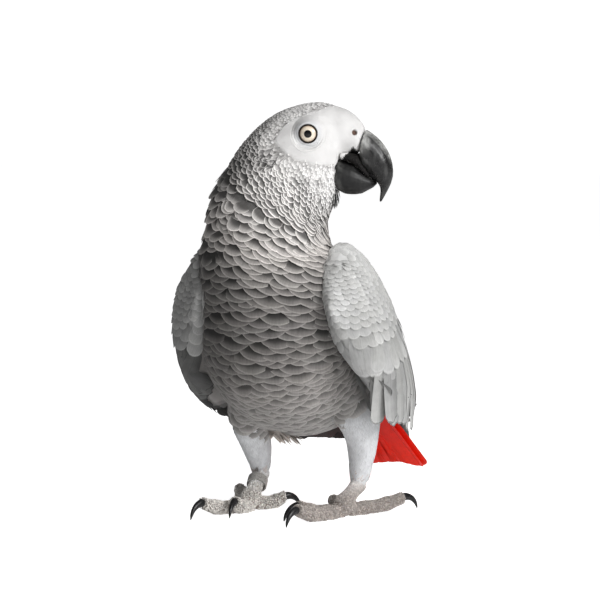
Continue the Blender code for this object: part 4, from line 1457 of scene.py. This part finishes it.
def edge_line(tree, cover, sign):
    """The highest places of the lower bill's side that the palate doesn't cover, from behind to the tip."""
    middle = between_eyes()
    low, high = corners_of("lower_bill")
    hind, tip = (low - middle) @ FORWARD + 4 * MM, (high - middle) @ FORWARD - 3 * MM
    line = []
    for forward in np.linspace(hind, tip, 36):
        for height in np.arange(high[2], low[2], -0.15 * MM):
            start = middle + FORWARD * forward - BESIDE * sign * 30 * MM
            start[2] = height
            place, _, _, away = tree.ray_cast(Vector(start), Vector(BESIDE * sign), 28.5 * MM)
            _, _, _, hidden = cover.ray_cast(Vector(start), Vector(BESIDE * sign), 28.5 * MM)
            if place is not None and (hidden is None or hidden > away):
                line.append(place)
                break
    return blurred(np.array(line)[:, None], 2, False)[:, 0]


def bead_mesh(name, line, out, thick):
    """A closed bead along a line, six-sided and thinner to its ends."""
    up = unit(np.cross(unit(np.gradient(line, axis=0)), out))
    spokes = np.arange(6) * math.pi / 3
    size = thick * np.sin(np.linspace(0.12, math.pi - 0.12, len(line)))
    ring = out * np.cos(spokes)[:, None] + up[:, None] * np.sin(spokes)[:, None]
    points = line[:, None] + ring * size[:, None, None]
    ids = np.arange(len(line) * 6).reshape(-1, 6)
    after = np.roll(ids, -1, 1)
    faces = np.stack([ids[:-1], after[:-1], after[1:], ids[1:]], -1).reshape(-1, 4).tolist()
    bead = bpy.data.meshes.new(name)
    bead.from_pydata(points.reshape(-1, 3).tolist(), [], faces + [ids[0][::-1].tolist(), ids[-1].tolist()])
    shape = bmesh.new()
    shape.from_mesh(bead)
    bmesh.ops.recalc_face_normals(shape, faces=shape.faces)
    shape.to_mesh(bead)
    shape.free()
    bead.shade_smooth()
    return bead


def make_bill_edges(mesh, over, material):
    """A thin pale bead along each cutting edge of the lower bill, where the palate doesn't cover it."""
    tree, cover = tree_of(mesh), tree_of(over)
    for side, sign in SIDES.items():
        bead = bead_mesh(f"bill_edge_{side}", edge_line(tree, cover, sign), -BESIDE * sign, 0.30 * MM)
        bead.materials.append(material)
        thing = linked(f"bill_edge_{side}", bead)
        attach(thing, "root")


def make_claw(node, material):
    shape = welded_copy(node)
    mesh = bpy.data.meshes.new(f"{node}_horn")
    shape.to_mesh(mesh)
    shape.free()
    thing = linked(f"{node}_horn", mesh)
    finer = thing.modifiers.new("finer", "SUBSURF")
    finer.levels = finer.render_levels = 2
    mesh.shade_smooth()
    mesh = evaluated(thing, f"{node}_horn")
    mesh.materials.clear()
    thing = linked(f"{node}_horn", mesh)
    mesh.shade_smooth()
    mesh.materials.append(material)
    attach(thing, "root")
    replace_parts(thing, node)


def finish_ring():
    """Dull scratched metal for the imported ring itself."""
    material, board, shader = new_material("ring")
    shader.inputs["Metallic"].default_value = 0.35
    scratches = board.noise(1500.0)
    colour = board.mixed(scratches, linear(0.62, 0.61, 0.60), linear(0.80, 0.79, 0.77))
    board.feed(shader.inputs["Base Color"], colour)
    board.feed(shader.inputs["Roughness"], board.ramp(scratches, 0.3, 0.7, 0.25, 0.42))
    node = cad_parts["leg_ring"]
    node.data.materials.clear()
    node.data.materials.append(material)


# ---------------------------------------------------------------- stage


# How brightly floor and room light the bird, and each lamp's place from the middle, size and power.
FLOOR_GLOW = 0.22
ROOM_GLOW = 0.09
LIGHTS = (
    ("key", (1.10, -0.42, 0.58), 0.55, 12.6),
    ("front", (0.80, -1.25, 0.02), 0.6, 6.6),
    ("top", (0.05, -0.45, 1.30), 0.7, 3.0),
    ("rear", (0.5, 0.9, 0.8), 0.8, 1.0),
)

# The camera and the place it looks at, from the middle of the bird, and its lens in mm.
CAMERA = (0.5353, -1.4495, 0.1241)
AIM = (0.0022, -0.0474, 0.0056)
LENS = 187.2


def floor_material():
    material, board, shader = new_material("floor", 0.9, 0.1)
    grain = board.ramp(board.noise(30.0), 0.3, 0.7, 0.80, 0.82)
    board.feed(shader.inputs["Base Color"], board.joined(grain, grain, grain))
    shader.inputs["Emission Color"].default_value = (1, 1, 1, 1)
    board.feed(shader.inputs["Emission Strength"], board.seen_strength(FLOOR_GLOW, 0.93))
    return material


def make_floor(level):
    shape = bmesh.new()
    bmesh.ops.create_grid(shape, x_segments=1, y_segments=1, size=4.0)
    mesh = bpy.data.meshes.new("floor")
    shape.to_mesh(mesh)
    shape.free()
    floor = linked("floor", mesh)
    floor.location = (0, 0, level)
    mesh.materials.append(floor_material())
    floor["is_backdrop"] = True


def make_room():
    world = bpy.data.worlds.new("studio")
    bpy.context.scene.world = world
    world.use_nodes = True
    board = Board(world.node_tree)
    background = board.nodes["Background"]
    background.inputs["Color"].default_value = (1, 1, 1, 1)
    board.feed(background.inputs["Strength"], board.seen_strength(ROOM_GLOW, 1.1))


def make_stage():
    """A white floor in a white room, large soft lights and the camera."""
    low, high = (np.array(corner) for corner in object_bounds())
    make_floor(low[2] - 0.05 * MM)
    make_room()
    middle = Vector((low + high) / 2)
    for title, place, size, power in LIGHTS:
        data = bpy.data.lights.new(title, "AREA")
        data.size = size
        data.energy = power
        lamp = linked(title, data)
        lamp.location = Vector(place) + middle
        lamp.rotation_euler = (-Vector(place)).to_track_quat("-Z", "Y").to_euler()
        lamp.visible_glossy = title == "key"
        lamp.visible_camera = False
    data = bpy.data.cameras.new("camera")
    data.sensor_width = 36.0
    data.lens = LENS
    camera = linked("camera", data)
    camera.location = middle + Vector(CAMERA)
    aim = middle + Vector(AIM)
    camera.rotation_euler = (aim - camera.location).to_track_quat("-Z", "Y").to_euler()
    scene = bpy.context.scene
    scene.camera = camera
    scene.view_settings.view_transform = "Standard"


# Light: how brightly floor and room light the bird, and each lamp's place from the middle, size and power.


# ---------------------------------------------------------------- dressing each part


def dress_body(body_tree):
    """The coats of the body, wings and thighs, built and returned for the skin to match."""
    wing_guides = {
        side: merged(f"wing_guide_{side}", [f"wing_{side}", f"primaries_{side}"], GRID, 5) for side in SIDES
    }
    wing_trees = {side: tree_of(guide) for side, guide in wing_guides.items()}
    under = ["neck", "trunk", "thigh_left", "thigh_right", "shank_left", "shank_right"]
    low_tree = tree_of(merged("belly_guide", under, 0.6 * MM, 10))
    coats = body_coat(body_sheath(body_tree), body_tree, low_tree, wing_trees.values())
    coats.append(vent_tuft(body_tree))
    body_vanes = feather_material("body_vanes", root_shade=0.50, rim_from=0.84, rim_soft=0.15,
                                  shade=(0.62, 0.90))
    belly_vanes = feather_material("belly_vanes", root_shade=0.72, rim_from=0.78, rim_soft=0.20,
                                   shade=(0.60, 0.95))
    head_vanes = feather_material("head_vanes", root_shade=0.55, glow=0.3, rim_from=0.78, rim_soft=0.14,
                                  shaft=0.0, shade=(0.35, 0.88))
    kinds = {"coat_head": head_vanes, "coat_nape": head_vanes, "coat_belly": belly_vanes,
             "coat_vent": belly_vanes, "vent_tuft": belly_vanes}
    for coat in coats:
        coat.build(kinds.get(coat.name, body_vanes), "grey_feathers")
    wing_vanes = feather_material("wing_vanes", root_shade=0.88, glow=0.5, rim_from=0.88, edge_shadow=0.82)
    long_vanes = feather_material("long_vanes", barbs=24.0, root_shade=0.85, glow=0.5, rim_from=0.92,
                                  edge_shadow=0.5, shaft=0.14, neighbour_shade=0.35, side_edge=1.0)
    soft_vanes = feather_material("soft_vanes", barbs=8.0, root_shade=0.9, glow=0.6, roughness=0.85,
                                  shaft=0.0)
    for side in SIDES:
        coverts, flight = wing_coat(side, wing_guides[side], wing_trees[side], body_tree)
        coverts.build(wing_vanes, "wing_feathers")
        flight.build(long_vanes, "flight_feathers")
        coats += [coverts, flight]
        tree = tree_of(merged(f"thigh_guide_{side}", [f"thigh_{side}", f"shank_{side}"], FINE_GRID, 5))
        thigh = thigh_coat(side, thigh_sheath(tree, side), low_tree, body_tree)
        thigh.build(soft_vanes, "leg_feathers")
        coats.append(thigh)
    return coats


def dress_tail():
    red_vanes = feather_material("red_vanes", barbs=40.0, root_shade=0.85, glow=0.2, rim_from=0.97,
                                 roughness=0.5, sheen=0.0, shaft=0.25)
    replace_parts(tail_coat().build(red_vanes, "tail_feathers"), "tail")


def dress_claws():
    horn = horn_material("claw_horn", (0.10, 0.10, 0.105), (0.3, 0.3, 0.3), 0.30, 900.0)
    for side in SIDES:
        for toe in TOES:
            make_claw(f"claw_{side}_{toe}", horn)


def dress_feet():
    """The scales of both feet; returns each foot's surface."""
    feet = {}
    pebbled = scale_material()
    for side in SIDES:
        mesh = merged(f"foot_guide_{side}", foot_nodes(side), FINE_GRID, 3)
        feet[side] = tree_of(mesh)
        foot_scales(side, mesh).build(pebbled, "foot_skin")
    return feet


def dress_bill():
    horn = horn_material("bill_horn", (0.095, 0.093, 0.095), (0.68, 0.68, 0.67), 0.30)
    make_bill("upper_bill", FINE_GRID, 4, upper_wear_and_sheen, horn)
    dull = horn_material("lower_bill", (0.06, 0.059, 0.06), (0.42, 0.42, 0.41), 0.5)
    lower = make_bill("lower_bill", FINE_GRID, 3, lower_worn, dull)
    palate = make_bill("palate", FINE_GRID, 2, palate_worn, gape_material())
    make_bill_edges(lower, palate, horn_material("bill_edge", (0.66, 0.65, 0.63), (0.85, 0.84, 0.82), 0.45))


# ---------------------------------------------------------------- the whole bird

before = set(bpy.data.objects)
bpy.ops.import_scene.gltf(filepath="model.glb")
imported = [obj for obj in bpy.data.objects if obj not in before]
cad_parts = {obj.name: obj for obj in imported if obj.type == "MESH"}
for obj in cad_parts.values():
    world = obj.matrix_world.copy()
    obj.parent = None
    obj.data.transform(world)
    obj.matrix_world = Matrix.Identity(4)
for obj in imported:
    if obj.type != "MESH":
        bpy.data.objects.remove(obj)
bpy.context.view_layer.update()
make_stage()
body_guide = tree_of(merged("body_guide", ["head", "cere", "neck", "trunk"], GRID, 6))
feathered = dress_body(body_guide)
dress_tail()
make_skin(feathered, body_guide, dress_feet())
for eye_side in SIDES:
    make_eye(eye_side)
dress_bill()
dress_claws()
finish_ring()
for guide in [mesh for mesh in bpy.data.meshes if not mesh.users]:
    bpy.data.meshes.remove(guide)
